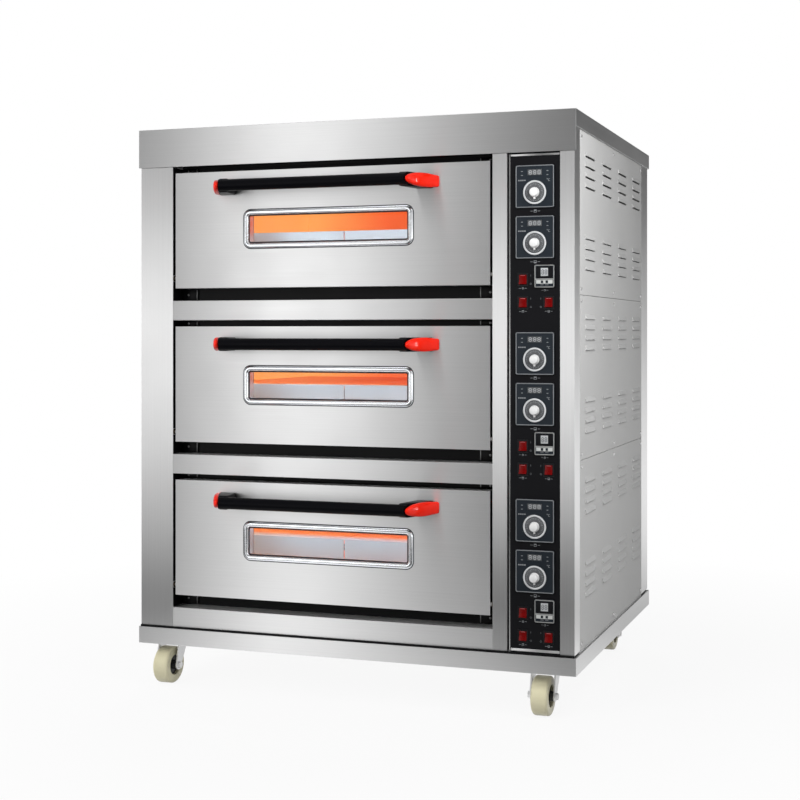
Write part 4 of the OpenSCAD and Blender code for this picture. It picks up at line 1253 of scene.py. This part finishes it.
    def _disc(self) -> None:
        """Makes the scale disc and its ticks, which turn with the knob."""
        body = f"{self.name}_knob_turn"
        place, radius = self.axis_place, self.disc_radius
        seat, edge, top = self.disc_heights
        disc = Shape()
        disc.turned(place, TO_FRONT, [
            (0.0, top), (radius - self.disc_bevel, top), (radius, edge), (radius, seat), (0.0, seat)], steps=64)
        disc.piece(f"{self.name}_scale_disc", LOOK.disc, body)
        ticks = Shape()
        for step in range(self.ticks):
            turn = Matrix.Rotation(math.tau * (step + 0.5) / self.ticks, 4, "Y")
            long = self.tick_lengths[0 if step % self.long_tick_each == 0 else 1]
            out = Vector((0.0, -self.tick_out, radius - self.tick_inset - long / 2))
            ticks.block(Matrix.Translation(place) @ turn @ Matrix.Translation(out), (self.tick_width, INK, long))
        ticks.piece(f"{self.name}_scale_ticks", LOOK.print, body)

    def _knob(self) -> None:
        """Makes the knob, with its pointer and the line on its front."""
        place, radius, length, seat = self.axis_place, self.knob_radius, self.knob_length, self.knob_seat
        x, y, z = place
        knob = Shape()
        knob.turned(place, TO_FRONT, [
            (0.0, length), (radius * 0.66, length), (radius * 0.86, length - 0.0012), (radius * 0.94, length - 0.0040),
            (radius, 0.0036), (radius * 1.06, 0.0028), (radius * 1.06, seat), (0.0, seat),
        ])
        knob.box((x - self.pointer_half, y - self.pointer_rise, z - radius - self.pointer_reach),
                 (x + self.pointer_half, y - seat, z - radius * 0.6), self.pointer_soft)
        knob.box((x - self.line_half, y - length - self.line_rise, z - radius * 0.62),
                 (x + self.line_half, y - length + self.line_sunk, z - radius * 0.1), self.line_soft)
        knob.piece(f"{self.name}_white_knob", LOOK.knob, f"{self.name}_knob_turn", [f"{self.name}_knob"])


@dataclass
class Timer:
    """The closed counter on the right of a deck's switches."""

    deck: Deck
    from_knob: Pair = (0.025, -0.083)
    width: float = 0.051
    height: float = 0.057
    floor: float = 0.0009
    soft: float = 0.0002
    fine: float = 0.0001
    rim: float = 0.0026
    rim_rise: float = 0.0014
    rim_corner: float = 0.001
    bar_height: float = 0.0036
    bar_down: float = 0.0075
    bar_depth: float = 0.0012
    bar_seat: float = 0.0004
    window: Pair = (0.0425, 0.0295)
    window_up: float = 0.0095
    window_depth: float = 0.0005
    display: Pair = (0.0185, 0.0200)
    display_up: float = 0.0105
    display_depth: float = 0.0004
    digit: Pair = (0.0062, 0.0125)
    digit_aside: float = 0.0042
    digit_stroke: float = 0.0015
    strip: Pair = (0.0425, 0.0092)
    strip_down: float = 0.0140
    strip_depth: float = 0.0006
    label: Pair = (0.0064, 0.0066)
    key: Pair = (0.0080, 0.0032)
    key_aside: float = 0.0062
    key_down: float = 0.0214
    key_depth: float = 0.0012
    key_soft: float = 0.0005
    sign: float = 0.005
    sign_down: float = 0.0065

    def build(self) -> None:
        """Makes the frame, the display, the strip with its labels and the keys."""
        knob = joint_place(f"{self.deck.value}_lower_knob_spindle")
        x, y, z = knob + Vector((self.from_knob[0], 0.0, self.from_knob[1]))
        floor, name = y + self.floor, self.deck.value
        inner = (self.width - 2 * self.rim, self.height - 2 * self.rim)
        rim = Shape()
        rim.ring(half_round_frame((x, y, z), *inner, self.rim_corner, self.rim, self.rim_rise))
        rim.tab((x, y + self.bar_seat, z - self.bar_down), inner[0], self.bar_height, self.bar_depth, self.bar_seat)
        rim.piece(f"{name}_timer_frame", LOOK.silver, BODY)
        window = Shape()
        window.tab((x, floor + self.fine, z + self.window_up), *self.window, self.window_depth, self.soft)
        window.piece(f"{name}_timer_window", LOOK.fascia, BODY)
        front = floor - self.display_depth
        display = Shape()
        display.tab((x, front, z + self.display_up), *self.display, self.display_depth, self.fine)
        display.piece(f"{name}_timer_display", LOOK.digit, BODY)
        digits = Shape()
        for side in SIDES:
            add_digit(digits, (x + side * self.digit_aside, front - self.display_depth, z + self.display_up),
                      self.digit, self.digit_stroke)
        for side in SIDES:
            place = (x + side * self.key_aside, floor - self.strip_depth, z - self.strip_down)
            digits.tab(place, *self.label, INK, self.fine)
        digits.piece(f"{name}_timer_digits", LOOK.instrument, BODY)
        strip = Shape()
        strip.tab((x, floor, z - self.strip_down), *self.strip, self.strip_depth, self.soft)
        strip.piece(f"{name}_timer_strip", LOOK.strip_white, BODY)
        keys = Shape()
        for side in SIDES:
            keys.tab((x + side * self.key_aside, floor, z - self.key_down), *self.key, self.key_depth, self.key_soft)
        keys.piece(f"{name}_timer_keys", LOOK.dim_print, BODY)
        sign = Shape()
        place = (x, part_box("control_fascia")[0].y, z - self.height / 2 - self.sign_down)
        add_mark(sign, place, Mark.CLOCK, self.sign)
        sign.piece(f"{name}_timer_sign", LOOK.print, BODY)


@dataclass
class RockerSwitch:
    """A red rocker with a concave face, and the signs printed round it."""

    deck: Deck
    kind: Switch
    width: float = 0.0200
    height: float = 0.0240
    front: float = 0.0040
    back: float = 0.0060
    back_share: float = 0.66
    dish: float = 0.0024
    dish_share: float = 0.06
    soft: float = 0.0008
    tilt: float = -10.0
    # The dash near the top edge is printed, and its pale tone is also a painted highlight.
    mark: Point = (0.0120, 0.0010, 0.0014)
    dash_highlight_up: float = 0.84
    dash_highlight_sunk: float = 0.0003
    dash_highlight_soft: float = 0.0003
    sign: float = 0.0055
    sign_down: float = 0.0215
    sign_aside: float = 0.0205
    on_off_up: float = 0.0105
    on_stroke: Pair = (0.0011, 0.0046)
    off_radii: Pair = (0.0016, 0.0024)

    def build(self) -> None:
        """Makes the rocker, its mark, a printed dash whose pale tone also paints a highlight on the upper edge, and
        the signs on the column.
        """
        name = f"{self.deck.value}_{self.kind.value}"
        pivot = joint_place(f"{name}_pivot")
        place = Matrix.Translation(pivot) @ Matrix.Rotation(math.radians(self.tilt), 4, "X")
        half, left = self.height / 2, -self.width / 2
        dish, dish_half, back_half = -self.front + self.dish, half * self.dish_share, half * self.back_share
        section = [
            (-self.front, -half), (dish, -dish_half), (dish, dish_half), (-self.front, half),
            (0.0, half), (self.back, back_half), (self.back, -back_half), (0.0, -half),
        ]
        rocker = Shape()
        push = place.to_3x3() @ Vector((self.width, 0.0, 0.0))
        rocker.plate([place @ Vector((left, y, z)) for y, z in section], push, self.soft, 3)
        rocker.piece(f"{name}_red_rocker", LOOK.rocker, f"{name}_rocker", [name])
        mark = Shape()
        lift = Matrix.Translation((0.0, -self.front + self.dash_highlight_sunk, half * self.dash_highlight_up))
        mark.block(place @ lift, self.mark, self.dash_highlight_soft)
        mark.piece(f"{name}_rocker_dash_highlight", LOOK.rocker_dash_highlight, f"{name}_rocker")
        self._signs(name, pivot)

    def _signs(self, name: str, pivot: Vector) -> None:
        """Prints the on and off signs beside the rocker and its use below it.

        Args:
            name: The rocker's node.
            pivot: Where the rocker tips.
        """
        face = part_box("control_fascia")[0].y
        aside = pivot.x + (-self.sign_aside if self.kind is Switch.LOWER else self.sign_aside)
        dim = Shape()
        dim.tab((aside, face, pivot.z + self.on_off_up), *self.on_stroke, INK)
        add_circle(dim, (aside, face, pivot.z - self.on_off_up), *self.off_radii, 16)
        dim.piece(f"{name}_on_off", LOOK.dim_print, BODY)
        sign = {Switch.LAMP: Mark.LAMP, Switch.UPPER: Mark.UPPER_HEAT, Switch.LOWER: Mark.LOWER_HEAT}[self.kind]
        use = Shape()
        add_mark(use, (pivot.x, face, pivot.z - self.sign_down), sign, self.sign)
        use.piece(f"{name}_sign", LOOK.print, BODY)


@dataclass
class Door:
    """A drop-down door: skin, back, window trim, gasket, panes and the spacer between them."""

    deck: Deck
    fold: float = 0.0012
    opening: Pair = (0.458, 0.076)
    trim_border: float = 0.014
    trim_rise: float = 0.0045
    corner: float = 0.0065
    gasket_border: float = 0.0045
    gasket_rise: float = 0.0012
    gasket_lap: float = 0.0036
    gasket_sunk: float = 0.0014
    seal_border: float = 0.003
    seal_rise: float = 0.001
    seal_lap: float = 0.0012
    pane: float = 0.004
    spacer_border: float = 0.0125
    seat: float = 0.0005

    def build(self) -> None:
        """Dresses the door and makes its window's frame."""
        name = self.deck.value
        body = f"{name}_door"
        dress(f"{name}_door_skin", LOOK.door, self.fold)
        dress(f"{name}_door_liner", LOOK.door_back)
        dress(f"{name}_door_glass", LOOK.glass)
        low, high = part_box(f"{name}_door_trim")
        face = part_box(f"{name}_door_skin")[0].y
        middle = Vector(((low.x + high.x) / 2, face, (low.z + high.z) / 2))
        trim = Shape()
        trim.ring(half_round_frame(middle, *self.opening, self.corner, self.trim_border, self.trim_rise, 10))
        trim.piece(f"{name}_window_trim", LOOK.trim, body, [f"{name}_door_trim"])
        gasket = Shape()
        sunk = middle + Vector((0.0, self.gasket_sunk, 0.0))
        inner = [side - 2 * self.gasket_lap for side in self.opening]
        gasket.ring(half_round_frame(sunk, *inner, self.corner - self.gasket_lap, self.gasket_border,
                                     self.gasket_rise, 6))
        outer = [side + 2 * (self.trim_border - self.seal_lap) for side in self.opening]
        gasket.ring(half_round_frame(middle, *outer, self.corner + self.trim_border - self.seal_lap,
                                     self.seal_border, self.seal_rise, 4))
        gasket.piece(f"{name}_window_gasket", LOOK.rubber, body)
        near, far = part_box(f"{name}_door_glass")
        back = (middle.x, far.y - self.pane - self.seat, middle.z)
        spacer = Shape()
        spacer.ring(flat_frame(back, far.x - near.x - 2 * self.seat, far.z - near.z - 2 * self.seat,
                               self.spacer_border, far.y - near.y - 2 * (self.pane + self.seat)))
        spacer.piece(f"{name}_pane_spacer", LOOK.spacer, body)


@dataclass
class Handle:
    """A door's black bar on two brackets, with a red cap on each slanting end."""

    deck: Deck
    bar_radius: float = 0.0155
    bar_out: float = 0.084
    spread: float = 0.048
    cap: float = 0.009
    bracket_height: float = 0.036
    bracket_soft: float = 0.005
    foot: float = 0.050
    socket: float = 0.028
    seat: float = 0.0003
    waist: float = 0.42
    flank: tuple[Pair, ...] = ((0.3, 0.9), (0.7, 0.98), (1.0, 1.0))
    heel: float = 0.78
    nose_steps: int = 10
    nose_power: float = 0.9
    dome: tuple[Pair, ...] = (
        (1.0, -0.0030), (0.975, -0.0008), (0.92, 0.0010), (0.80, 0.0028), (0.60, 0.0042), (0.35, 0.0050),
        (0.12, 0.0053),
    )

    def build(self) -> None:
        """Makes the bar with its brackets, and the two caps."""
        low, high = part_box(f"{self.deck.value}_handle_ends")
        self.middle = Vector(((low.x + high.x) / 2, high.y, (low.z + high.z) / 2))
        self.half = (high.x - low.x) / 2
        self.nose = self.bar_out + self.bar_radius
        self.run = math.hypot(self.spread, self.nose)
        self._bar()
        self._caps()

    def _slant(self, end: End) -> tuple[Vector, Vector, Vector]:
        """Gives how an end of the handle slants.

        Args:
            end: Which end it is.

        Returns:
            Its foot on the door, the way along its slant, and the way in through the cap.
        """
        side = end.value
        foot = self.middle + Vector((side * self.half, 0.0, 0.0))
        along = Vector((-side * self.spread, -self.nose, 0.0)) / self.run
        inwards = Vector((-side * self.nose, self.spread, 0.0)) / self.run
        return foot, along, inwards

    def _edge(self, out: float) -> float:
        """Gives how far from the handle's middle a bracket reaches, at a distance out from the door."""
        return self.half - self.cap * self.run / self.nose - self.spread * out / self.nose

    def _bar(self) -> None:
        """Makes the mitred bar and its brackets."""
        shape = Shape()
        axis = self.middle + Vector((0.0, -self.bar_out, 0.0))
        radius, half = self.bar_radius, self.half
        shape.turned(axis, TO_RIGHT, [(0.0, -half), (radius, -half), (radius, half), (0.0, half)], steps=56)
        for end in End:
            foot, _, inwards = self._slant(end)
            shape.cut(foot + inwards * (self.cap + self.seat), -inwards)
        base = self.middle.z - self.bracket_height / 2
        at_door, at_bar = self._edge(0.0), self._edge(self.bar_out)
        plan = [
            (at_door - self.foot, 0.0), (at_door - self.seat, 0.0),
            (at_bar - self.seat, self.bar_out), (at_bar - self.socket, self.bar_out),
        ]
        for end in End:
            outline = [(self.middle.x + end.value * x, self.middle.y - out, base) for x, out in plan]
            shape.plate(outline, (0.0, 0.0, self.bracket_height), self.bracket_soft, 4)
        name = self.deck.value
        shape.piece(f"{name}_handle_bar", LOOK.grip, f"{name}_door", [f"{name}_door_handle"])

    def _leaf(self, end: End, scale: float, lift: float) -> Loop:
        """Gives a loop of a cap's leaf-shaped outline.

        Args:
            end: Which end of the handle the cap is on.
            scale: What the outline is scaled by about its middle.
            lift: How far it is lifted out of its slant.

        Returns:
            The points, in order round the outline.
        """
        foot, along, inwards = self._slant(end)
        waist, tall = self.run * self.waist, self.bracket_height / 2
        half = [(-self.cap, self.heel), *((waist * out, up) for out, up in self.flank)]
        for step in range(1, self.nose_steps):
            angle = math.pi / 2 * step / self.nose_steps
            half.append((waist + (self.run - waist) * math.sin(angle), math.cos(angle) ** self.nose_power))
        flat = [(out, -up) for out, up in half] + [(self.run, 0.0)] + [(out, up) for out, up in reversed(half)]
        loop = []
        for out, up in flat:
            place = foot + along * (waist + (out - waist) * scale) - inwards * lift
            loop.append((place.x, place.y, place.z + up * tall * scale))
        return loop

    def _caps(self) -> None:
        """Makes the two domed red caps."""
        shape = Shape()
        section = [(0.97, -self.cap), (1.0, -self.cap * 0.8), *self.dome]
        for end in End:
            shape.ring([self._leaf(end, scale, lift) for scale, lift in section], closed=False)
        shape.cut(self.middle, TO_BACK)
        name = self.deck.value
        shape.piece(f"{name}_red_caps", LOOK.cap, f"{name}_door", [f"{name}_handle_ends"], 55.0)


def hang_lamp(name: str, size: Pair, power: float, place: Sequence[float], turn: Euler) -> bpy.types.Object:
    """Hangs an area lamp that the camera doesn't see.

    Args:
        name: The lamp's name.
        size: Its length and width.
        power: Its power in watts.
        place: Where it hangs.
        turn: How it is turned from looking straight down.

    Returns:
        The new lamp.
    """
    data = bpy.data.lights.new(name, "AREA")
    data.shape = "RECTANGLE"
    data.size, data.size_y = size
    data.energy = power
    lamp = bpy.data.objects.new(name, data)
    lamp.location, lamp.rotation_euler = place, turn
    lamp.visible_camera = False
    bpy.context.scene.collection.objects.link(lamp)
    return lamp


@dataclass
class BakingChambers:
    """What is behind the doors, and the lights over the hearths."""

    lamp_power: float = 0.95
    lamp_size: Pair = (0.7, 0.02)
    lamp_tone: Colour = (0.86, 0.94, 1.0)
    lamp_in: float = 0.006
    lamp_down: float = 0.024
    lamp_tilt: float = 28.0

    def build(self) -> None:
        """Dresses the chambers' nodes and lights each hearth."""
        for node, finish in [
            ("chamber_liners", LOOK.liner), ("insulation", LOOK.wool), ("hearth_plates", LOOK.hearth),
            ("heating_elements", LOOK.rod), ("lamps", LOOK.lens),
        ]:
            dress(node, finish)
        low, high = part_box("chamber_liners")
        turn = Euler((math.radians(self.lamp_tilt), 0.0, 0.0))
        for deck in Deck:
            door_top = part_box(f"{deck.value}_door_skin")[1].z
            place = ((low.x + high.x) / 2, low.y + self.lamp_in, door_top - self.lamp_down)
            lamp = hang_lamp(f"{deck.value}_hearth_light", self.lamp_size, self.lamp_power, place, turn)
            lamp.data.color = self.lamp_tone


@dataclass
class Castor:
    """A swivel castor: plated fork, pale nylon tyre and dark hub."""

    corner: Corner
    fold: float = 0.0008
    radius: float = 0.050
    half: float = 0.022
    shoulder: float = 0.007
    shoulder_steps: int = 6
    rim: float = 0.0275
    rim_bevel: float = 0.0015
    web_lap: float = 0.0004
    web_inset: float = 0.008
    web_slope: float = 0.001
    hub: float = 0.012
    sleeve: float = 0.028
    bore: float = 0.0055

    def build(self) -> None:
        """Dresses the fork and makes the wheel."""
        name = self.corner.value
        dress(f"{name}_castor_fork", LOOK.zinc, self.fold)
        body = f"{name}_wheel"
        centre = joint_place(f"{name}_axle")
        tyre = Shape()
        tyre.turned(centre, TO_RIGHT, self._tyre_section(), steps=72)
        tyre.piece(f"{name}_tyre", LOOK.nylon, body, [f"{name}_castor_wheel"])
        web, dish, slope = self.rim + self.web_lap, self.half - self.web_inset, self.web_slope
        hub = Shape()
        hub.turned(centre, TO_RIGHT, [
            (self.bore, -self.sleeve), (self.hub, -self.sleeve), (self.hub + slope, -dish), (web, -dish + slope),
            (web, dish - slope), (self.hub + slope, dish), (self.hub, self.sleeve), (self.bore, self.sleeve),
            (self.bore, -self.sleeve),
        ])
        hub.piece(f"{name}_wheel_hub", LOOK.hub, body)

    def _tyre_section(self) -> list[Pair]:
        """Gives the tyre's section.

        Returns:
            Radius and place along the axle of each point, closed.
        """
        rim, half, bevel = self.rim, self.half, self.rim_bevel
        middle, inset, steps = self.radius - self.shoulder, self.half - self.shoulder, self.shoulder_steps
        points = [(rim, -half + bevel), (rim + bevel, -half)]
        for side in SIDES:
            for step in range(steps + 1):
                angle = math.pi / 2 * (step if side < 0 else steps - step) / steps
                points.append((middle + self.shoulder * math.sin(angle),
                               side * (inset + self.shoulder * math.cos(angle))))
        points += [(rim + bevel, half), (rim, half - bevel)]
        return [*points, points[0]]


@dataclass(frozen=True)
class SoftBox:
    """An area lamp that looks at a point: a soft light, or a glint on named pieces alone."""

    name: str
    place: Point
    aim: Point
    size: float
    power: float
    glint_on: tuple[str, ...] = ()

    def build(self) -> None:
        """Hangs the lamp."""
        turn = (Vector(self.aim) - Vector(self.place)).to_track_quat("-Z", "Y").to_euler()
        lamp = hang_lamp(self.name, (self.size, self.size), self.power, self.place, turn)
        lamp.visible_glossy = bool(self.glint_on)
        lamp.visible_diffuse = not self.glint_on
        if self.glint_on:
            lit = bpy.data.collections.new(f"{self.name}_pieces")
            for piece in self.glint_on:
                lit.objects.link(bpy.data.objects[piece])
            lamp.light_linking.receiver_collection = lit


@dataclass
class Studio:
    """Camera, lamps, floor and the grey boards that bright metal mirrors."""

    camera_place: Point = (1.427, -3.751, 0.969)
    camera_turn: float = 17.97
    focal_length: float = 61.73
    sensor: float = 36.0
    shift: Pair = (-0.094, -0.0836)
    ambient: float = 0.18
    floor_half: float = 14.0
    floor_tone: float = 0.55
    floor_roughness: float = 0.9
    shadow_share: Pair = (0.91, 1.0)
    shadow_reach: Pair = (0.9, 2.2)
    board_power: float = 3.45
    board_sides: int = 96
    board_section: tuple[Pair, ...] = ((0.75, 0.004), (6.0, 0.004), (6.0, 4.5), (0.05, 5.0))
    board_split: Pair = (-1.0, 1.0)
    lamps: tuple[SoftBox, ...] = (
        SoftBox("key", (-1.8, -4.2, 3.0), (0.0, 0.0, 0.8), 2.2, 150.0),
        SoftBox("side_fill", (1.4, -1.05, 1.55), (0.6, -0.3, 0.9), 0.8, 19.0),
        SoftBox("back_fill", (-1.5, 4.0, 2.6), (0.0, 0.0, 0.8), 2.2, 110.0),
        SoftBox("left_fill", (-3.6, -0.3, 2.0), (0.0, 0.0, 0.8), 2.0, 60.0),
        SoftBox("cap_glint", (4.0, 0.85, 1.0), (0.25, -0.5, 0.94), 1.5, 520.0,
                tuple(f"{deck.value}_red_caps" for deck in Deck)),
    )
    front_source: Pair = (1.427, 2.851)
    side_source: Pair = (-0.202, -3.751)
    source_height: float = 0.969
    side_share: float = 0.62
    tones_across: Tones = (
        (-90, 0.50), (-60, 0.33), (-40, 0.19), (-33, 0.19), (-31.5, 0.25), (-30, 0.41), (-28.7, 0.58), (-27.5, 0.82),
        (-26.4, 0.98), (-25, 0.94), (-23.8, 0.77), (-22.6, 0.59), (-21.3, 0.42), (-20, 0.31), (-18.8, 0.24),
        (-17.7, 0.19), (-15.7, 0.13), (-14, 0.10), (-11, 0.10), (-4, 0.34), (20, 0.55), (60, 0.55), (90, 0.50),
    )
    tones_front: Tones = (
        (-0.5, 0.80), (-0.30, 0.75), (-0.225, 0.30), (-0.202, 0.09), (-0.173, 0.21), (-0.144, 0.37), (-0.116, 0.54),
        (-0.087, 0.70), (-0.058, 0.82), (-0.030, 0.93), (0.0, 1.0), (0.027, 0.99), (0.056, 0.80), (0.084, 0.62),
        (0.113, 0.45), (0.138, 0.38), (0.30, 0.34), (0.45, 0.45), (0.65, 0.75), (1.0, 0.80),
    )
    tones_side: Tones = (
        (-0.5, 1.0), (-0.255, 1.0), (-0.238, 0.55), (-0.218, 0.25), (-0.202, 0.20), (-0.173, 0.34), (-0.144, 0.465),
        (-0.116, 0.50), (-0.087, 0.46), (-0.058, 0.385), (-0.030, 0.30), (0.0, 0.23), (0.027, 0.155), (0.056, 0.09),
        (0.084, 0.04), (0.113, 0.01), (0.14, 0.0), (0.36, 0.0), (0.50, 0.12), (0.65, 0.30), (1.0, 0.40),
    )

    def build(self) -> None:
        """Makes the whole studio."""
        scene = bpy.context.scene
        scene.view_settings.view_transform = "Standard"
        self._camera(scene)
        self._world(scene)
        self._floor()
        self._boards()
        for lamp in self.lamps:
            lamp.build()

    def _camera(self, scene: bpy.types.Scene) -> None:
        """Stands the camera level, at the photograph's viewing angle.

        Args:
            scene: The scene that gets it.
        """
        lens = bpy.data.cameras.new("camera")
        lens.sensor_width = self.sensor
        lens.lens = self.focal_length
        lens.shift_x, lens.shift_y = self.shift
        camera = bpy.data.objects.new("camera", lens)
        camera.location = self.camera_place
        camera.rotation_euler = (math.radians(90), 0.0, math.radians(self.camera_turn))
        scene.collection.objects.link(camera)
        scene.camera = camera

    def _world(self, scene: bpy.types.Scene) -> None:
        """Surrounds the oven with white that is seen and mirrored, and dimmer light.

        Args:
            scene: The scene that gets it.
        """
        scene.world = bpy.data.worlds.new("studio")
        sky = NodeBench(scene.world, "Background")
        sky.set(Color=(1.0, 1.0, 1.0, 1.0))
        sky.wire(sky.spread(sky.seen(), self.ambient, 1.0), "Strength")

    def _stage(self, bm: bmesh.types.BMesh, name: str, material: bpy.types.Material) -> bpy.types.Object:
        """Puts a studio surface on the stage.

        Args:
            bm: Its shape, which is used up.
            name: Its name.
            material: Its material.

        Returns:
            The new object.
        """
        mesh = bpy.data.meshes.new(name)
        bm.to_mesh(mesh)
        bm.free()
        mesh.materials.append(material)
        made = bpy.data.objects.new(name, mesh)
        bpy.context.scene.collection.objects.link(made)
        return made

    def _floor(self) -> None:
        """Lays a white floor that keeps a soft shadow near the oven."""
        material = bpy.data.materials.new("floor_white")
        bench = NodeBench(material)
        bench.set(Base_Color=(*[self.floor_tone] * 3, 1.0), Roughness=self.floor_roughness)
        axes = bench.axes()
        squares = [bench.math("MULTIPLY", axes[name], axes[name]) for name in "XY"]
        reach = bench.math("SQRT", bench.math("ADD", *squares))
        white = bench.node("ShaderNodeEmission", {})["Emission"]
        share = bench.math("MULTIPLY", bench.seen(), bench.spread(reach, *self.shadow_share, *self.shadow_reach))
        blend = bench.tree.nodes.new("ShaderNodeMixShader")
        for socket, value in zip(blend.inputs, (share, bench.shader.outputs["BSDF"], white)):
            bench.feed(socket, value)
        bench.feed(bench.tree.nodes["Material Output"].inputs["Surface"], blend.outputs["Shader"])
        bm = bmesh.new()
        bmesh.ops.create_grid(bm, x_segments=1, y_segments=1, size=self.floor_half)
        self._stage(bm, "floor", material)

    def _bearing(self, bench: NodeBench, source: Pair) -> tuple[Socket, Socket]:
        """Measures where a board's point lies, as seen from the mirror image of the viewing point.

        Args:
            bench: The boards' nodes.
            source: Place of that image along X and Y.

        Returns:
            The angle from the front, positive to the right, and the slope up.
        """
        axes = bench.axes()
        right = bench.math("SUBTRACT", axes["X"], source[0])
        ahead = bench.math("SUBTRACT", source[1], axes["Y"])
        squares = bench.math("ADD", bench.math("MULTIPLY", right, right), bench.math("MULTIPLY", ahead, ahead))
        up = bench.math("SUBTRACT", axes["Z"], self.source_height)
        return bench.math("ARCTAN2", right, ahead), bench.math("DIVIDE", up, bench.math("SQRT", squares))

    def _tone(self, bench: NodeBench, value: Socket, tones: Tones, scale: float = 1.0) -> Socket:
        """Gives the tone along a list of values and tones.

        Args:
            bench: The boards' nodes.
            value: What moves along the list.
            tones: Each value and its tone, from low to high.
            scale: What the list's values are multiplied by.

        Returns:
            The tone's socket.
        """
        low, high = tones[0][0], tones[-1][0]
        stops = [((at - low) / (high - low), (tone, tone, tone)) for at, tone in tones]
        return bench.ramp(bench.spread(value, 0.0, 1.0, low * scale, high * scale), stops)

    def _boards(self) -> None:
        """Stands grey and white boards round the studio, which only mirrors show."""
        material = bpy.data.materials.new("studio_boards")
        bench = NodeBench(material)
        bench.set(Base_Color=(0.0, 0.0, 0.0, 1.0), Specular_IOR_Level=0.0, Emission_Strength=self.board_power)
        turn, rise = self._bearing(bench, self.front_source)
        front = bench.math("MULTIPLY", self._tone(bench, turn, self.tones_across, math.radians(1.0)),
                           self._tone(bench, rise, self.tones_front))
        _, side_rise = self._bearing(bench, self.side_source)
        side = bench.math("MULTIPLY", self._tone(bench, side_rise, self.tones_side), self.side_share)
        behind = bench.spread(bench.axes()["Y"], 0.0, 1.0, *self.board_split)
        ahead = bench.math("SUBTRACT", 1.0, behind)
        both = bench.math("ADD", bench.math("MULTIPLY", front, ahead), bench.math("MULTIPLY", side, behind))
        bench.wire(both, "Emission Color")
        bm = bmesh.new()
        rims = []
        for radius, height in self.board_section:
            place = Matrix.Translation((0.0, 0.0, height))
            made = bmesh.ops.create_circle(bm, segments=self.board_sides, radius=radius, matrix=place)
            rims.append(edges_at(made["verts"]))
        for one, other in zip(rims, rims[1:]):
            bmesh.ops.bridge_loops(bm, edges=one + other)
        boards = self._stage(bm, "boards", material)
        for ray in ("camera", "diffuse", "transmission", "shadow", "volume_scatter"):
            setattr(boards, f"visible_{ray}", False)


def main() -> None:
    """Builds the oven's looks in order."""
    logging.basicConfig(level=logging.INFO, format="%(message)s")
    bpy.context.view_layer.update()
    OvenBody().build()
    ControlColumn().build()
    for deck in Deck:
        HingePlates(deck).build()
        Door(deck).build()
        Handle(deck).build()
        for heat in Heat:
            Thermostat(deck, heat).build()
        Timer(deck).build()
        for kind in Switch:
            RockerSwitch(deck, kind).build()
    BakingChambers().build()
    for corner in Corner:
        Castor(corner).build()
    Studio().build()


if __name__ == "__main__":
    main()
